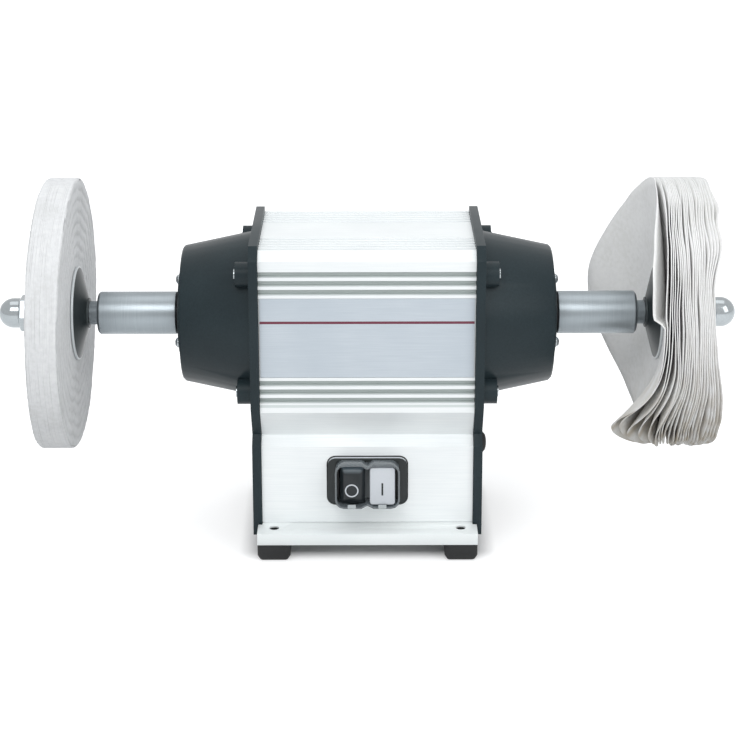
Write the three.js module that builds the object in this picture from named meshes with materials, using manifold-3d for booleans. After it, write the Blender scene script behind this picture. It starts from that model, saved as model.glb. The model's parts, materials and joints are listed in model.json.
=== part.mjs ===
// Double-ended bench polishing machine, built from its separate pieces.
// Millimetres, +Z up, X along the spindle, and the operator stands on the -Y side.
// The origin is on the bench, below the middle of the spindle.
import * as THREE from 'three';
import { mergeVertices } from 'three/addons/utils/BufferGeometryUtils.js';
import Module from 'manifold-3d';

const wasm = await Module();
wasm.setup();

// Whole machine
const SEAT_GAP = 0.3;
const RUNNING_GAP = 0.6;
const CUT_OVERRUN = 2;

// Housing: one aluminium profile, seen along the spindle, heights from the shaft axis
const HOUSING_LENGTH = 192.4;
const HOUSING_HALF_DEPTH = 75.8;
const HOUSING_TOP = 78.9;
const HOUSING_EDGE = 8;
const WAIST_INSET = 18.8;
const WAIST_RUN = 28.1;
const SHOULDER_INSET = 8.8;
const SHOULDER_RUN = 8.2;
const SKIRT_INSET = 6.3;
const SKIRT_HEIGHT = 72.9;
const SKIRT_WALL = 3.5;
const BORE_WALL = 9.5;
const BORE_FLOOR = 6;
const CAVITY_HALF_ROOF = 25;

// Cooling grooves of the housing and the bare label between them
const GROOVE_PITCH = 8.1;
const GROOVE_WIDTH = 5.3;
const GROOVE_DEPTH = 4;
const GROOVE_FLOOR_WIDTH = 2.6;
const FRONT_GROOVE_COUNT = 3;
const TOP_PANEL_HALF_WIDTH = 27;
const UPPER_BAND = 9.5;
const LOWER_BAND = 9;
const LABEL_RECESS = 1.2;
const LABEL_THICKNESS = 0.5;
const LABEL_SIDE_MARGIN = 1;

// End caps: a plate that follows the housing, with a tapered drum
const CAP_PLATE_THICKNESS = 8;
const CAP_PROUD = 4.4;
const CAP_EDGE = 11.4;
const CAP_FLANK_RISE = 5.6;
const CAP_WAIST_PROUD = 3.5;
const CAP_SPIGOT_LENGTH = 5;
const CAP_WALL = 6;
const DRUM_BASE_INSET = 4.2;
const DRUM_TAPER = 13.1;
const DRUM_LENGTH = 64.1;
const DRUM_END_EDGE = 2;
const DRUM_END_WALL = 12;
const BEARING_BOSS_RADIUS = 38;
const BEARING_BOSS_LENGTH = 8;
const BEARING_SHOULDER_RADIUS = 20;

// Corner bosses and the socket screws that hold the caps to the housing
const BOSS_SIDE_INSET = 14.6;
const BOSS_TOP_INSET = 23.8;
const BOSS_RADIUS = 11.5;
const BOSS_LENGTH = 12.4;
const CAP_BOLT_RADIUS = 3;
const CAP_BOLT_HEAD_RADIUS = 5;
const CAP_BOLT_HEAD_HEIGHT = 6;
const CAP_BOLT_HEAD_PROUD = 1.3;
const CAP_BOLT_LENGTH = 35;
const CAP_BOLT_SOCKET_RADIUS = 2.9;
const CAP_BOLT_SOCKET_DEPTH = 3;
const BOLT_CLEARANCE = 0.4;

// Blanking plug in the right end cap
const PLUG_INSET = 17;
const PLUG_BELOW_WAIST = 14;
const PLUG_HEAD_RADIUS = 9.7;
const PLUG_HEAD_HEIGHT = 4.7;
const PLUG_STEM_RADIUS = 7.2;
const PLUG_STEM_LENGTH = 10;

// Ball bearings, their covers and seals
const BEARING_OUTER_RADIUS = 26;
const BEARING_WIDTH = 15;
const BEARING_RACE_THICKNESS = 3.5;
const BEARING_SHIELD_THICKNESS = 1;
const WAVE_WASHER_THICKNESS = 0.8;
const WAVE_HEIGHT = 0.5;
const WAVE_COUNT = 4;
const COVER_RADIUS = 41;
const COVER_THICKNESS = 2.8;
const COVER_EDGE = 0.6;
const COVER_BORE_RADIUS = 21.3;
const COVER_SCREW_CIRCLE = 32.2;
const COVER_SCREW_TURN_SHARE = 0.361;
const COVER_SCREW_RADIUS = 2.5;
const COVER_SCREW_LENGTH = 11;
const COVER_SCREW_HEAD_RADIUS = 4.75;
const COVER_SCREW_HEAD_HEIGHT = 3.7;
const COVER_SCREW_SLOT_WIDTH = 1.2;
const COVER_SCREW_SLOT_DEPTH = 1.6;
const SEAL_LIP_RADIUS = 18.5;
const SEAL_LIP_LENGTH = 2.7;

// Motor inside the housing
const MOTOR_END_ROOM = 46.2;
const STATOR_DEPTH = 23.7;
const STATOR_SLOT_COUNT = 24;
const SLOT_WIDTH = 5;
const SLOT_DEPTH = 13;
const WINDING_LENGTH = 28;
const WINDING_INNER_INSET = 3.4;
const WINDING_OUTER_INSET = 5.3;
const WINDING_CROWN = 5;
const ROTOR_OVERHANG = 1;
const CAGE_RING_LENGTH = 9;
const CAGE_RING_INSET = 3.6;
const CAGE_RING_DEPTH = 11;

// Spindle: motor shaft, turned extensions and what clamps the buffs
const ROTOR_SEAT_RADIUS = 15;
const SHAFT_RADIUS = 12.5;
const SHAFT_END_RADIUS = 10;
const SHAFT_END_LENGTH = 39.6;
const SHAFT_END_EDGE = 1;
const EXTENSION_RADIUS = 19.7;
const EXTENSION_LENGTH = 72.6;
const EXTENSION_EDGE = 2;
const NECK_RADIUS = 10.8;
const NECK_LENGTH = 8.4;
const ARBOR_RADIUS = 9.9;
const ARBOR_CLEARANCE = 0.3;
const FLANGE_RADIUS = 43;
const FLANGE_HUB_RADIUS = 14;
const FLANGE_LENGTH = 11.7;
const FLANGE_RIM = 2;
const FLANGE_HUB_LENGTH = 1.5;
const FLANGE_DISH_RADIUS = 33;
const FLANGE_DISH_DEPTH = 1.5;
const OUTER_FLANGE_LENGTH = 6.4;
const WASHER_RADIUS = 18.5;
const WASHER_THICKNESS = 2.6;
const NUT_ACROSS_FLATS = 30;
const NUT_HEX_HEIGHT = 14.4;
const NUT_HEIGHT = 34;
const NUT_DOME_RADIUS = 13.9;
const NUT_THREAD_DEPTH = 25;
const NUT_EDGE_DROP = 2;
const NUT_DOME_STEP_COUNT = 5;
const HEX_SIDE_COUNT = 6;

// Buffs
const BUFF_RADIUS = 125;
const BUFF_WIDTH = 28;
const BUFF_BORE_CLEARANCE = 0.4;
const STITCH_RIPPLE = 0.9;
const STITCH_WAVE_COUNT = 9;
const STITCH_FACE_ROW_COUNT = 5;
const STITCHED_SECTION_COUNT = 46;
const STITCH_SWAY_SHARE = 0.33;
const SEWN_ROW_SHARES = [1, -0.3];
const BUFF_EDGE = 2;
const LOOSE_SECTION_COUNT = 50;
const LOOSE_RIM_LAYER_COUNT = 4;
const LOOSE_FACE_ROW_COUNT = 3;
const LOOSE_LAYER_DEPTH = 3;
const LOOSE_INNER_LEAN = 6;
const LOOSE_OUTER_LEAN = 6;
const LOOSE_BEND_SHARE = 0.6;
const FOLD_SHORTENING = 200;

// Folds of the loose cloth: crest and spread as shares of a turn from the top round the back,
// and lean as a share of the buff's radius
const INNER_FOLD_SHARES = [[0.258, 0.083, 0.352], [0.583, 0.047, 0.336], [0.764, 0.078, 0.096]];
const OUTER_FOLD_SHARES = [[0.606, 0.044, 0.152], [0.944, 0.083, 0.08], [0.25, 0.083, -0.064]];

// Base tray, feet and the holes for bench bolts
const TRAY_SHEET = 2;
const TRAY_HEIGHT = 10.8;
const TRAY_LIP_OVERHANG = 27;
const TRAY_LIP_PROUD = 3.8;
const TRAY_LIP_DEPTH = 22.2;
const BENCH_HOLE_END_INSET = 11.2;
const BENCH_HOLE_EDGE_INSET = 15.1;
const BENCH_HOLE_RADIUS = 4.5;
const FOOT_HEIGHT = 15.3;
const FOOT_SIZE = 30;
const FOOT_BOTTOM_SIZE = 25;
const FOOT_CORNER = 5;
const FOOT_EDGE_HEIGHT = 4;
const FOOT_HOLE_RADIUS = 5;
const FOOT_HEAD_SIZE = 16;

// Push-button switch on the front of the pedestal
const SWITCH_BELOW_SHOULDER = 32.2;
const BEZEL_WIDTH = 72.2;
const BEZEL_HEIGHT = 45.4;
const BEZEL_THICKNESS = 3;
const BEZEL_CORNER = 7;
const BEZEL_WALL = 1.6;
const BEZEL_BACK_DEPTH = 6;
const GUARD_WIDTH = 58.6;
const GUARD_HEIGHT = 42.2;
const GUARD_DEPTH = 18;
const GUARD_WALL = 1.6;
const GUARD_CORNER = 8;
const GUARD_NOTCH = 2.8;
const GUARD_NOTCH_HALF_WIDTH = 5.5;
const GUARD_NOTCH_TIP = 0.5;
const GUARD_LUG_WIDTH = 8;
const GUARD_LUG_HEIGHT = 4;
const BUTTON_WIDTH = 23;
const BUTTON_HEIGHT = 36;
const BUTTON_CENTRE_X = 13.6;
const BUTTON_CORNER = 3;
const BUTTON_FRONT = 16;
const BUTTON_TRAVEL = 3;
const BUTTON_BACK = 2.3;
const BUTTON_GAP = 0.7;
const STOP_FACE_WIDTH = 15.8;
const STOP_FACE_HEIGHT = 23;
const STOP_BEVEL = 4.5;
const START_BEVEL = 1;
const SWITCH_BLOCK_DEPTH = 28;
const SWITCH_TAB_WIDTH = 6.3;
const SWITCH_TAB_THICKNESS = 0.8;
const SWITCH_TAB_LENGTH = 8;
const SWITCH_TAB_SPREAD = 14;

// Wiring compartment inside the pedestal, and the cable gland at the back
const CAPACITOR_RADIUS = 15;
const CAPACITOR_LENGTH = 62;
const CAPACITOR_END_INSET = 48.2;
const CAPACITOR_BACK_INSET = 31.5;
const CAPACITOR_RIM = 1.5;
const CLAMP_WIDTH = 14;
const CLAMP_SHEET = 1.2;
const CLAMP_EAR = 10;
const TERMINAL_LENGTH = 46;
const TERMINAL_DEPTH = 20;
const TERMINAL_HEIGHT = 18;
const TERMINAL_END_INSET = 58.2;
const TERMINAL_BACK_INSET = 49.5;
const TERMINAL_POLE_COUNT = 4;
const TERMINAL_NOTCH = 2.4;
const TERMINAL_SCREW_RADIUS = 3;
const GLAND_END_INSET = 44.2;
const GLAND_BELOW_SHOULDER = 45.2;
const GLAND_THREAD_RADIUS = 9.8;
const GLAND_THREAD_LENGTH = 12;
const GLAND_FLANGE_RADIUS = 13.5;
const GLAND_FLANGE_HEIGHT = 5;
const GLAND_CAP_RADIUS = 11.5;
const GLAND_CAP_HEIGHT = 14;
const GLAND_CAP_WALL = 3;
const GLAND_HOLE_RADIUS = 4.5;

// Rounded heads, as shares of the head's height and radius
const PLUG_CROWN_SHARES = [[0.3, 1], [0.8, 0.72], [1, 0.35]];
const PAN_HEAD_SHARES = [[0.45, 0.95], [0.85, 0.65], [1, 0.25]];

// Facets in a full turn, and in one rounded corner
const TAPPED_COUNT = 8;
const COARSE_COUNT = 12;
const HIDDEN_COUNT = 16;
const MEDIUM_COUNT = 24;
const FINE_COUNT = 36;
const CORNER_COUNT = 3;

// Places that follow from the sizes
const ribWidth = GROOVE_PITCH - GROOVE_WIDTH;
const frontGrooveBand = FRONT_GROOVE_COUNT * GROOVE_PITCH;
const topGrooveRoom = HOUSING_HALF_DEPTH - HOUSING_EDGE - TOP_PANEL_HALF_WIDTH;
const topGrooveCount = Math.floor(topGrooveRoom / GROOVE_PITCH);
const labelHalfHeight = HOUSING_TOP - HOUSING_EDGE - UPPER_BAND - frontGrooveBand;
const flankDrop = labelHalfHeight + frontGrooveBand + LOWER_BAND;
const waistDrop = flankDrop + WAIST_RUN;
const waistHalfDepth = HOUSING_HALF_DEPTH - WAIST_INSET;
const shoulderDrop = waistDrop + SHOULDER_RUN;
const shoulderHalfDepth = HOUSING_HALF_DEPTH - SHOULDER_INSET;
const skirtDrop = shoulderDrop + SKIRT_HEIGHT;
const skirtHalfDepth = HOUSING_HALF_DEPTH - SKIRT_INSET;
const trayDrop = skirtDrop + SEAT_GAP;
const trayFlangeDrop = trayDrop + TRAY_HEIGHT;
const shaftHeight = trayFlangeDrop + SEAT_GAP + FOOT_HEIGHT;
const bodyRadius = Math.min(HOUSING_HALF_DEPTH, HOUSING_TOP);
const statorBoreRadius = bodyRadius - BORE_WALL;
const statorLength = HOUSING_LENGTH - 2 * MOTOR_END_ROOM;
const statorInnerRadius = statorBoreRadius - STATOR_DEPTH;
const rotorLength = statorLength + 2 * ROTOR_OVERHANG;
const capInnerX = HOUSING_LENGTH / 2 + SEAT_GAP;
const capOuterX = capInnerX + CAP_PLATE_THICKNESS;
const capFlankDrop = flankDrop - CAP_FLANK_RISE;
const bossY = HOUSING_HALF_DEPTH - BOSS_SIDE_INSET;
const bossZ = HOUSING_TOP - BOSS_TOP_INSET;
const bossEndX = capOuterX + BOSS_LENGTH;
const plugY = -(waistHalfDepth - PLUG_INSET);
const plugZ = -(waistDrop + PLUG_BELOW_WAIST);
const drumBaseRadius = bodyRadius + CAP_PROUD - DRUM_BASE_INSET;
const drumEndRadius = drumBaseRadius - DRUM_TAPER;
const drumEndX = capOuterX + DRUM_LENGTH;
const bearingOuterX = drumEndX - SEAT_GAP;
const bearingInnerX = bearingOuterX - BEARING_WIDTH;
const coverInnerX = drumEndX + SEAT_GAP;
const coverOuterX = coverInnerX + COVER_THICKNESS;
const sealEndX = coverOuterX + SEAL_LIP_LENGTH;
const shaftEndX = sealEndX + SHAFT_END_LENGTH;
const extensionStartX = sealEndX + RUNNING_GAP;
const extensionEndX = extensionStartX + EXTENSION_LENGTH;
const neckEndX = extensionEndX + NECK_LENGTH;
const buffInnerX = neckEndX + FLANGE_LENGTH + SEAT_GAP;
const buffOuterX = buffInnerX + BUFF_WIDTH;
const outerFlangeX = buffOuterX + SEAT_GAP;
const washerX = outerFlangeX + OUTER_FLANGE_LENGTH + SEAT_GAP;
const nutX = washerX + WASHER_THICKNESS + SEAT_GAP;
const spindleBoreRadius = ARBOR_RADIUS + ARBOR_CLEARANCE;
const trayHalfDepth = skirtHalfDepth + TRAY_LIP_OVERHANG;
const trayLipHalfWidth = HOUSING_LENGTH / 2 + TRAY_LIP_PROUD;
const benchHoleX = HOUSING_LENGTH / 2 - BENCH_HOLE_END_INSET;
const benchHoleY = trayHalfDepth - BENCH_HOLE_EDGE_INSET;
const skirtTilt = Math.atan2(SHOULDER_INSET - SKIRT_INSET, SKIRT_HEIGHT);
const switchDrop = shoulderDrop + SWITCH_BELOW_SHOULDER;
const capacitorX = CAPACITOR_END_INSET - HOUSING_LENGTH / 2;
const capacitorY = skirtHalfDepth - CAPACITOR_BACK_INSET;
const terminalX = HOUSING_LENGTH / 2 - TERMINAL_END_INSET;
const terminalY = skirtHalfDepth - TERMINAL_BACK_INSET;
const glandX = HOUSING_LENGTH / 2 - GLAND_END_INSET;
const glandDrop = shoulderDrop + GLAND_BELOW_SHOULDER;
const switchWindowWidth = 2 * BUTTON_CENTRE_X + BUTTON_WIDTH + 2 * BUTTON_GAP;
const switchWindowHeight = BUTTON_HEIGHT + 2 * BUTTON_GAP;

function crownPoints(shares, startX, height, radius) {
  return shares.map(([heightShare, radiusShare]) => [startX + height * heightShare, radius * radiusShare]);
}

// Materials
function material(color, roughness, metalness) {
  return new THREE.MeshStandardMaterial({ color, roughness, metalness });
}

const finishes = {
  anodised: material(0xd9dde0, 0.4, 0.8),
  castPaint: material(0x33393c, 0.55, 0.2),
  whitePaint: material(0xf1f3f3, 0.45, 0),
  foil: material(0xc3cbd2, 0.4, 0.3),
  steel: material(0xa9adb0, 0.35, 0.9),
  darkSteel: material(0x3c4345, 0.5, 0.6),
  chrome: material(0xe6e8ea, 0.12, 1),
  cotton: material(0xefede8, 0.95, 0),
  rubber: material(0x1d1e1f, 0.85, 0),
  blackPlastic: material(0x26292b, 0.45, 0),
  whitePlastic: material(0xd8dade, 0.4, 0),
  clearPlastic: material(0x8e9498, 0.25, 0),
  laminations: material(0x6d6f72, 0.5, 0.7),
  copper: material(0xb06a3b, 0.4, 0.7),
  greyPlastic: material(0x9aa0a3, 0.5, 0),
};

// Solids and booleans
function toManifold(geometry) {
  const bare = geometry.clone();
  bare.deleteAttribute('normal');
  bare.deleteAttribute('uv');
  const merged = mergeVertices(bare);
  const corners = merged.index.array;
  const faces = [];
  for (let i = 0; i < corners.length; i += 3) {
    const [a, b, c] = corners.slice(i, i + 3);
    if (a !== b && b !== c && c !== a) faces.push(a, b, c);
  }
  const mesh = new wasm.Mesh({
    numProp: 3,
    vertProperties: new Float32Array(merged.attributes.position.array),
    triVerts: new Uint32Array(faces),
  });
  return new wasm.Manifold(mesh);
}

function toGeometry(manifold) {
  const mesh = manifold.getMesh();
  const geometry = new THREE.BufferGeometry();
  geometry.setAttribute('position', new THREE.BufferAttribute(new Float32Array(mesh.vertProperties), 3));
  geometry.setIndex(new THREE.BufferAttribute(new Uint32Array(mesh.triVerts), 1));
  geometry.computeVertexNormals();
  return geometry;
}

function join(first, ...others) {
  return toGeometry(others.reduce((body, other) => body.add(toManifold(other)), toManifold(first)));
}

function cut(body, ...tools) {
  return toGeometry(tools.reduce((rest, tool) => rest.subtract(toManifold(tool)), toManifold(body)));
}

// A shape whose outline is drawn as [y, z], pushed along X
function prismAlongX(shape, fromX, toX) {
  const geometry = new THREE.ExtrudeGeometry(shape, { depth: toX - fromX, bevelEnabled: false });
  const alongX = new THREE.Matrix4().makeBasis(
    new THREE.Vector3(0, 1, 0),
    new THREE.Vector3(0, 0, 1),
    new THREE.Vector3(1, 0, 0),
  );
  geometry.applyMatrix4(alongX);
  geometry.translate(fromX, 0, 0);
  return geometry;
}

// A body of revolution about X from half-section points [x, radius]
function turnedAlongX(points, facets) {
  const outline = points.map(([x, radius]) => new THREE.Vector2(radius, x));
  const touchesAxis = points[0][1] === 0 && points[points.length - 1][1] === 0;
  if (THREE.ShapeUtils.area(outline) < 0) outline.reverse();
  if (!touchesAxis) outline.push(outline[0].clone());
  const geometry = new THREE.LatheGeometry(outline, facets);
  const alongX = new THREE.Matrix4().makeBasis(
    new THREE.Vector3(0, 1, 0),
    new THREE.Vector3(1, 0, 0),
    new THREE.Vector3(0, 0, -1),
  );
  geometry.applyMatrix4(alongX);
  return geometry;
}

function cylinderAlongX(radius, fromX, toX, facets, y = 0, z = 0) {
  const geometry = turnedAlongX([[fromX, 0], [fromX, radius], [toX, radius], [toX, 0]], facets);
  geometry.translate(0, y, z);
  return geometry;
}

function cylinderAlongZ(radius, fromZ, toZ, facets, x = 0, y = 0) {
  const geometry = new THREE.CylinderGeometry(radius, radius, toZ - fromZ, facets);
  geometry.rotateX(Math.PI / 2);
  geometry.translate(x, y, (fromZ + toZ) / 2);
  return geometry;
}

function box(sizeX, sizeY, sizeZ, x, y, z) {
  const geometry = new THREE.BoxGeometry(sizeX, sizeY, sizeZ);
  geometry.translate(x, y, z);
  return geometry;
}

function shapeOf(points) {
  return new THREE.Shape(points.map(([x, y]) => new THREE.Vector2(x, y)));
}

function circlePath(radius, x, y, facets) {
  const points = [];
  for (let i = 0; i < facets; i += 1) {
    const angle = (-2 * Math.PI * i) / facets;
    points.push(new THREE.Vector2(x + radius * Math.cos(angle), y + radius * Math.sin(angle)));
  }
  return new THREE.Path(points);
}

function roundedRectangle(width, height, corner) {
  const points = [];
  const centres = [[1, 1], [-1, 1], [-1, -1], [1, -1]];
  centres.forEach(([sx, sy], quarter) => {
    for (let i = 0; i <= CORNER_COUNT; i += 1) {
      const angle = (Math.PI / 2) * (quarter + i / CORNER_COUNT);
      const x = sx * (width / 2 - corner) + corner * Math.cos(angle);
      const y = sy * (height / 2 - corner) + corner * Math.sin(angle);
      points.push([x, y]);
    }
  });
  return points;
}

// A closed body through outlines of equal point count, each [points, z]
function loft(levels) {
  const count = levels[0][0].length;
  const positions = [];
  const faces = [];
  levels.forEach(([points, z]) => points.forEach(([x, y]) => positions.push(x, y, z)));
  for (let level = 0; level + 1 < levels.length; level += 1) {
    for (let i = 0; i < count; i += 1) {
      const a = level * count + i;
      const b = level * count + ((i + 1) % count);
      faces.push(a, b, b + count, a, b + count, a + count);
    }
  }
  const bottom = levels[0][0].map(([x, y]) => new THREE.Vector2(x, y));
  const top = levels[levels.length - 1][0].map(([x, y]) => new THREE.Vector2(x, y));
  const last = (levels.length - 1) * count;
  const floor = THREE.ShapeUtils.triangulateShape(bottom, []);
  const roof = THREE.ShapeUtils.triangulateShape(top, []);
  floor.forEach(([a, b, c]) => faces.push(c, b, a));
  roof.forEach(([a, b, c]) => faces.push(last + a, last + b, last + c));
  return indexed(positions, faces);
}

// A closed ring about X, skinned over closed sections that turn with the angle
function ringOfSections(sections, sectionAt) {
  const positions = [];
  const faces = [];
  let count = 0;
  for (let s = 0; s < sections; s += 1) {
    const angle = (2 * Math.PI * s) / sections;
    const section = sectionAt(angle);
    const outline = section.map(([x, radius]) => new THREE.Vector2(x, radius));
    if (THREE.ShapeUtils.area(outline) > 0) section.reverse();
    count = section.length;
    section.forEach(([x, radius]) => positions.push(x, radius * Math.sin(angle), radius * Math.cos(angle)));
  }
  for (let s = 0; s < sections; s += 1) {
    const next = (s + 1) % sections;
    for (let i = 0; i < count; i += 1) {
      const j = (i + 1) % count;
      faces.push(s * count + i, s * count + j, next * count + j);
      faces.push(s * count + i, next * count + j, next * count + i);
    }
  }
  return indexed(positions, faces);
}

function indexed(positions, faces) {
  const geometry = new THREE.BufferGeometry();
  geometry.setAttribute('position', new THREE.Float32BufferAttribute(positions, 3));
  geometry.setIndex(faces);
  geometry.computeVertexNormals();
  return geometry;
}

function piece(name, geometry, finish) {
  const mesh = new THREE.Mesh(toGeometry(toManifold(geometry)), finish);
  mesh.name = name;
  return mesh;
}

// Housing
function groovePoints(start, surface) {
  const inset = (GROOVE_WIDTH - GROOVE_FLOOR_WIDTH) / 2;
  const floor = surface - GROOVE_DEPTH;
  return [
    [start, surface],
    [start + inset, floor],
    [start + GROOVE_WIDTH - inset, floor],
    [start + GROOVE_WIDTH, surface],
  ];
}

function topGroove(index) {
  const start = TOP_PANEL_HALF_WIDTH + index * GROOVE_PITCH;
  return groovePoints(start, HOUSING_TOP).map(([along, height]) => [-along, height]);
}

// Grooves above and below the label, each listed from its upper edge down
function frontGroove(index) {
  const start = labelHalfHeight + ribWidth + index * GROOVE_PITCH;
  return groovePoints(start, HOUSING_HALF_DEPTH).reverse();
}

function housingFrontOutline() {
  const points = [];
  for (let i = 0; i < topGrooveCount; i += 1) points.push(...topGroove(i));
  points.push([-(HOUSING_HALF_DEPTH - HOUSING_EDGE), HOUSING_TOP]);
  points.push([-HOUSING_HALF_DEPTH, HOUSING_TOP - HOUSING_EDGE]);
  const upper = [];
  for (let i = FRONT_GROOVE_COUNT - 1; i >= 0; i -= 1) upper.push(...frontGroove(i));
  points.push(...upper.map(([along, depth]) => [-depth, along]));
  points.push([-HOUSING_HALF_DEPTH, labelHalfHeight]);
  points.push([-(HOUSING_HALF_DEPTH - LABEL_RECESS), labelHalfHeight]);
  points.push([-(HOUSING_HALF_DEPTH - LABEL_RECESS), -labelHalfHeight]);
  points.push([-HOUSING_HALF_DEPTH, -labelHalfHeight]);
  points.push(...upper.reverse().map(([along, depth]) => [-depth, -along]));
  points.push([-HOUSING_HALF_DEPTH, -flankDrop]);
  points.push([-waistHalfDepth, -waistDrop]);
  points.push([-shoulderHalfDepth, -shoulderDrop]);
  points.push([-skirtHalfDepth, -skirtDrop]);
  return points;
}

function mirroredOutline(frontHalf) {
  const backHalf = frontHalf.map(([y, z]) => [-y, z]).reverse();
  return shapeOf([...frontHalf, ...backHalf]);
}

function bossPlaces() {
  return [[-bossY, bossZ], [bossY, bossZ], [bossY, -bossZ], [-bossY, -bossZ]];
}

function housingProfile() {
  const shape = mirroredOutline(housingFrontOutline());
  shape.holes.push(circlePath(statorBoreRadius, 0, 0, FINE_COUNT));
  const tappedRadius = CAP_BOLT_RADIUS + BOLT_CLEARANCE;
  bossPlaces().forEach(([y, z]) => shape.holes.push(circlePath(tappedRadius, y, z, TAPPED_COUNT)));
  const half = HOUSING_LENGTH / 2;
  const profile = prismAlongX(shape, -half, half);
  const cavityRoof = statorBoreRadius + BORE_FLOOR;
  const cavity = prismAlongX(mirroredOutline([
    [-CAVITY_HALF_ROOF, -cavityRoof],
    [-(waistHalfDepth - SKIRT_WALL), -waistDrop],
    [-(shoulderHalfDepth - SKIRT_WALL), -(shoulderDrop + SKIRT_WALL / 2)],
    [-(skirtHalfDepth - SKIRT_WALL), -(skirtDrop + CUT_OVERRUN)],
  ]), -half - CUT_OVERRUN, half + CUT_OVERRUN);
  const frontY = -(shoulderHalfDepth + skirtHalfDepth) / 2;
  const cutoutDepth = 2 * (SKIRT_WALL + CUT_OVERRUN);
  const cutoutWidth = switchWindowWidth + 2 * BEZEL_WALL + 2 * SEAT_GAP;
  const cutoutHeight = switchWindowHeight + 2 * BEZEL_WALL + 2 * SEAT_GAP;
  const switchCutout = box(cutoutWidth, cutoutDepth, cutoutHeight, 0, frontY, -switchDrop);
  const glandHole = cylinderAlongZ(GLAND_THREAD_RADIUS + BOLT_CLEARANCE, 0, cutoutDepth, MEDIUM_COUNT);
  glandHole.rotateX(-Math.PI / 2);
  glandHole.translate(glandX, -frontY - cutoutDepth / 2, -glandDrop);
  const mesh = piece('housing_profile', cut(profile, cavity, switchCutout, glandHole), finishes.anodised);
  mesh.position.z = shaftHeight;
  return mesh;
}

function frontLabel() {
  const faceY = -(HOUSING_HALF_DEPTH - LABEL_RECESS + SEAT_GAP);
  const width = HOUSING_LENGTH - 2 * LABEL_SIDE_MARGIN;
  const height = 2 * (labelHalfHeight - SEAT_GAP);
  const sheet = new THREE.BoxGeometry(width, LABEL_THICKNESS, height);
  const mesh = piece('front_label', sheet, finishes.foil);
  mesh.position.set(0, faceY - LABEL_THICKNESS / 2, shaftHeight);
  return mesh;
}

// End caps
function capOutline() {
  const halfDepth = HOUSING_HALF_DEPTH + CAP_PROUD;
  const top = HOUSING_TOP + CAP_PROUD;
  return mirroredOutline([
    [-(halfDepth - CAP_EDGE), top],
    [-halfDepth, top - CAP_EDGE],
    [-halfDepth, -capFlankDrop],
    [-(waistHalfDepth + CAP_WAIST_PROUD), -(waistDrop - CAP_WAIST_PROUD / 2)],
    [-(shoulderHalfDepth + CAP_WAIST_PROUD), -(shoulderDrop - CAP_WAIST_PROUD / 2)],
    [-(skirtHalfDepth + CAP_WAIST_PROUD), -trayFlangeDrop],
  ]);
}

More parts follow.
